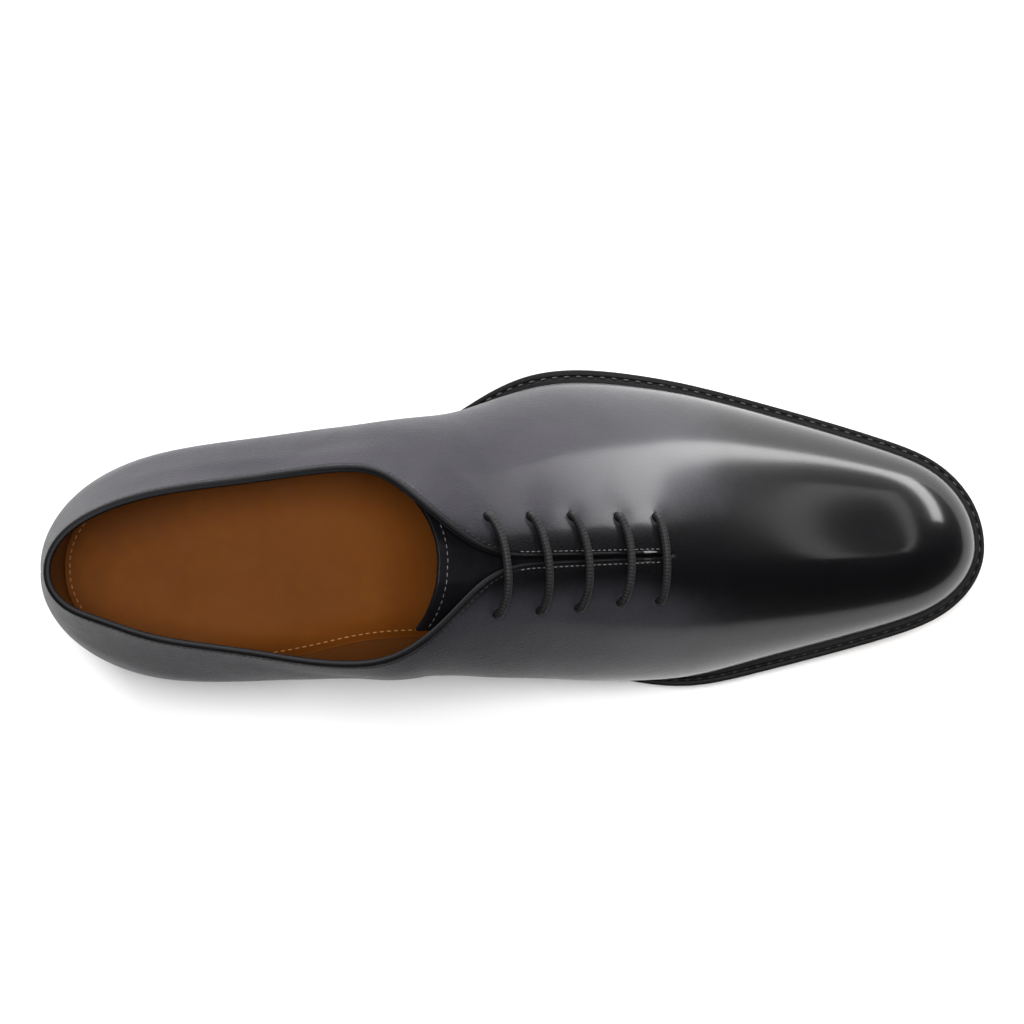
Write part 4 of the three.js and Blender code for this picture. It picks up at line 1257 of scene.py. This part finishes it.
def roundCurve(points, count):  # a centripetal curve through the points, at even steps
    points = np.concatenate([[2 * points[0] - points[1]], points, [2 * points[-1] - points[-2]]])
    gaps = np.linalg.norm(np.diff(points, axis=0), axis=1) ** 0.5
    fine = []
    for i in range(1, len(points) - 2):
        before, here, after, later = points[i - 1:i + 3]
        g0, g1, g2 = gaps[i - 1:i + 2]
        leave = ((here - before) / g0 - (after - before) / (g0 + g1) + (after - here) / g1) * g1
        arrive = ((after - here) / g1 - (later - here) / (g1 + g2) + (later - after) / g2) * g1
        t = np.linspace(0, 1, 30, endpoint=False)[:, None]
        fine.append(here * (2 * t ** 3 - 3 * t ** 2 + 1) + leave * (t ** 3 - 2 * t ** 2 + t)
                    + after * (3 * t ** 2 - 2 * t ** 3) + arrive * (t ** 3 - t ** 2))
    fine = np.concatenate([*fine, points[-2:-1]])
    run = runLengths(fine)
    even = np.linspace(0, run[-1], count)
    return placesAlong(even, run, fine), even


def makeLace():
    cut = laceCut
    centres, run = roundCurve(laceRoute(), cut["rings"])
    along = unit(np.gradient(centres, axis=0))
    side = np.zeros_like(centres)
    side[0] = unit(np.cross(along[0], [0.3, 0.2, 1.0]))
    for i in range(1, len(centres)):  # carried along without twist
        side[i] = unit(side[i - 1] - along[i] * (side[i - 1] @ along[i]))
    other = np.cross(along, side)
    turn = np.arange(cut["sides"]) * 2 * math.pi / cut["sides"]
    strand, phase = turn * strands["turns"], run[:, None] * strands["pitch"]
    radius = cut["diameter"] / 2 + strands["height"] * np.sin(strand + phase) * np.sin(strand - phase)
    grid = centres[:, None] + radius[..., None] * (
        np.cos(turn)[:, None] * side[:, None] + np.sin(turn)[:, None] * other[:, None])
    faces = gridFaces(cut["rings"], cut["sides"], closed=True)
    faces.append(tuple(range(cut["sides"])))
    faces.append(tuple((cut["rings"] - 1) * cut["sides"] + k for k in range(cut["sides"]))[::-1])
    marks = {"turn": np.tile(turn, cut["rings"]), "run": np.repeat(run, cut["sides"])}
    piece = newMesh("waxed_lace", grid.reshape(-1, 3), faces, marks, merge=0.000001)
    smoothBy(piece, 60)
    dress(piece, finishes["lace"], slot="lace_cotton", replaces=("lace",))
    print("lace made:", round(run[-1]), "mm long")


makeLace()


# Floor, lights and camera

studio = {
    "cameraPlace": (146.0, 14.58),
    "cameraHeight": 0.95,
    "lens": 101.13,
    "roll": -1.42,
    "aim": (0.0, 0.0, 0.03),
    "floorRadius": 1.1,
    "paper": 0.93,
    "airStrength": 0.02,
    "backdrop": 0.82,
}
lights = [  # name, azimuth, elevation and roll in degrees, distance, size, watts
    ("overhead_softbox", 84, 86, 0, 1.6, (0.9, 0.55), 30),
    ("lateral_softbox", 100, 18, 0, 1.4, (1.2, 0.35), 38),
    ("front_softbox", 45, 11, -36, 1.3, (1.1, 0.22), 10.5),
    ("toe_strip", 25, 42.5, -30, 0.9, (1.1, 0.08), 0.62),
]


def makeStudio():
    bpy.ops.object.select_all(action="DESELECT")
    bpy.ops.mesh.primitive_circle_add(vertices=128, radius=studio["floorRadius"], fill_type="NGON",
                                      location=(0, 0, -0.0002))
    floor = bpy.context.object
    floor.name = "studio_floor"
    paper = Finish("studioPaper")
    rough = paper.noise(300, 2) * 0.1 + 0.75
    floor.data.materials.append(paper.close(Base_Color=[studio["paper"]] * 3 + [1], Roughness=rough))
    for name, azimuth, elevation, roll, distance, size, watts in lights:
        azimuth, elevation = math.radians(azimuth), math.radians(elevation)
        flat = math.cos(elevation)
        away = Vector((flat * math.cos(azimuth), flat * math.sin(azimuth), math.sin(elevation)))
        turn = away.to_track_quat("Z", "Y") @ Quaternion((0, 0, 1), math.radians(roll))
        bpy.ops.object.light_add(type="AREA", location=Vector(studio["aim"]) + away * distance,
                                 rotation=turn.to_euler())
        light = bpy.context.object
        light.name = name
        light.data.shape = "RECTANGLE"
        light.data.size, light.data.size_y = size
        light.data.energy = watts
    world = bpy.data.worlds.new("studioAir")
    bpy.context.scene.world = world
    world.use_nodes = True
    nodes, links = world.node_tree.nodes, world.node_tree.links
    # the pale backdrop is seen straight on but adds no light to the leather
    air, backdrop = nodes["Background"], nodes.new("ShaderNodeBackground")
    for background, strength in ((air, "airStrength"), (backdrop, "backdrop")):
        background.inputs["Color"].default_value = (1, 1, 1, 1)
        background.inputs["Strength"].default_value = studio[strength]
    ray, mix = nodes.new("ShaderNodeLightPath"), nodes.new("ShaderNodeMixShader")
    links.new(ray.outputs["Is Camera Ray"], mix.inputs["Fac"])
    links.new(air.outputs["Background"], mix.inputs[1])
    links.new(backdrop.outputs["Background"], mix.inputs[2])
    links.new(mix.outputs["Shader"], nodes["World Output"].inputs["Surface"])
    bpy.context.scene.view_settings.view_transform = "Standard"


def makeCamera():
    x, y = studio["cameraPlace"]
    place = toFrame((x, y, 0))
    bpy.ops.object.camera_add(location=(place[0], place[1], studio["cameraHeight"]),
                              rotation=(0, 0, math.radians(studio["roll"])))
    camera = bpy.context.object
    camera.data.lens = studio["lens"]
    camera.data.sensor_width = 36
    bpy.context.scene.camera = camera


makeStudio()
makeCamera()

print("scene ready")
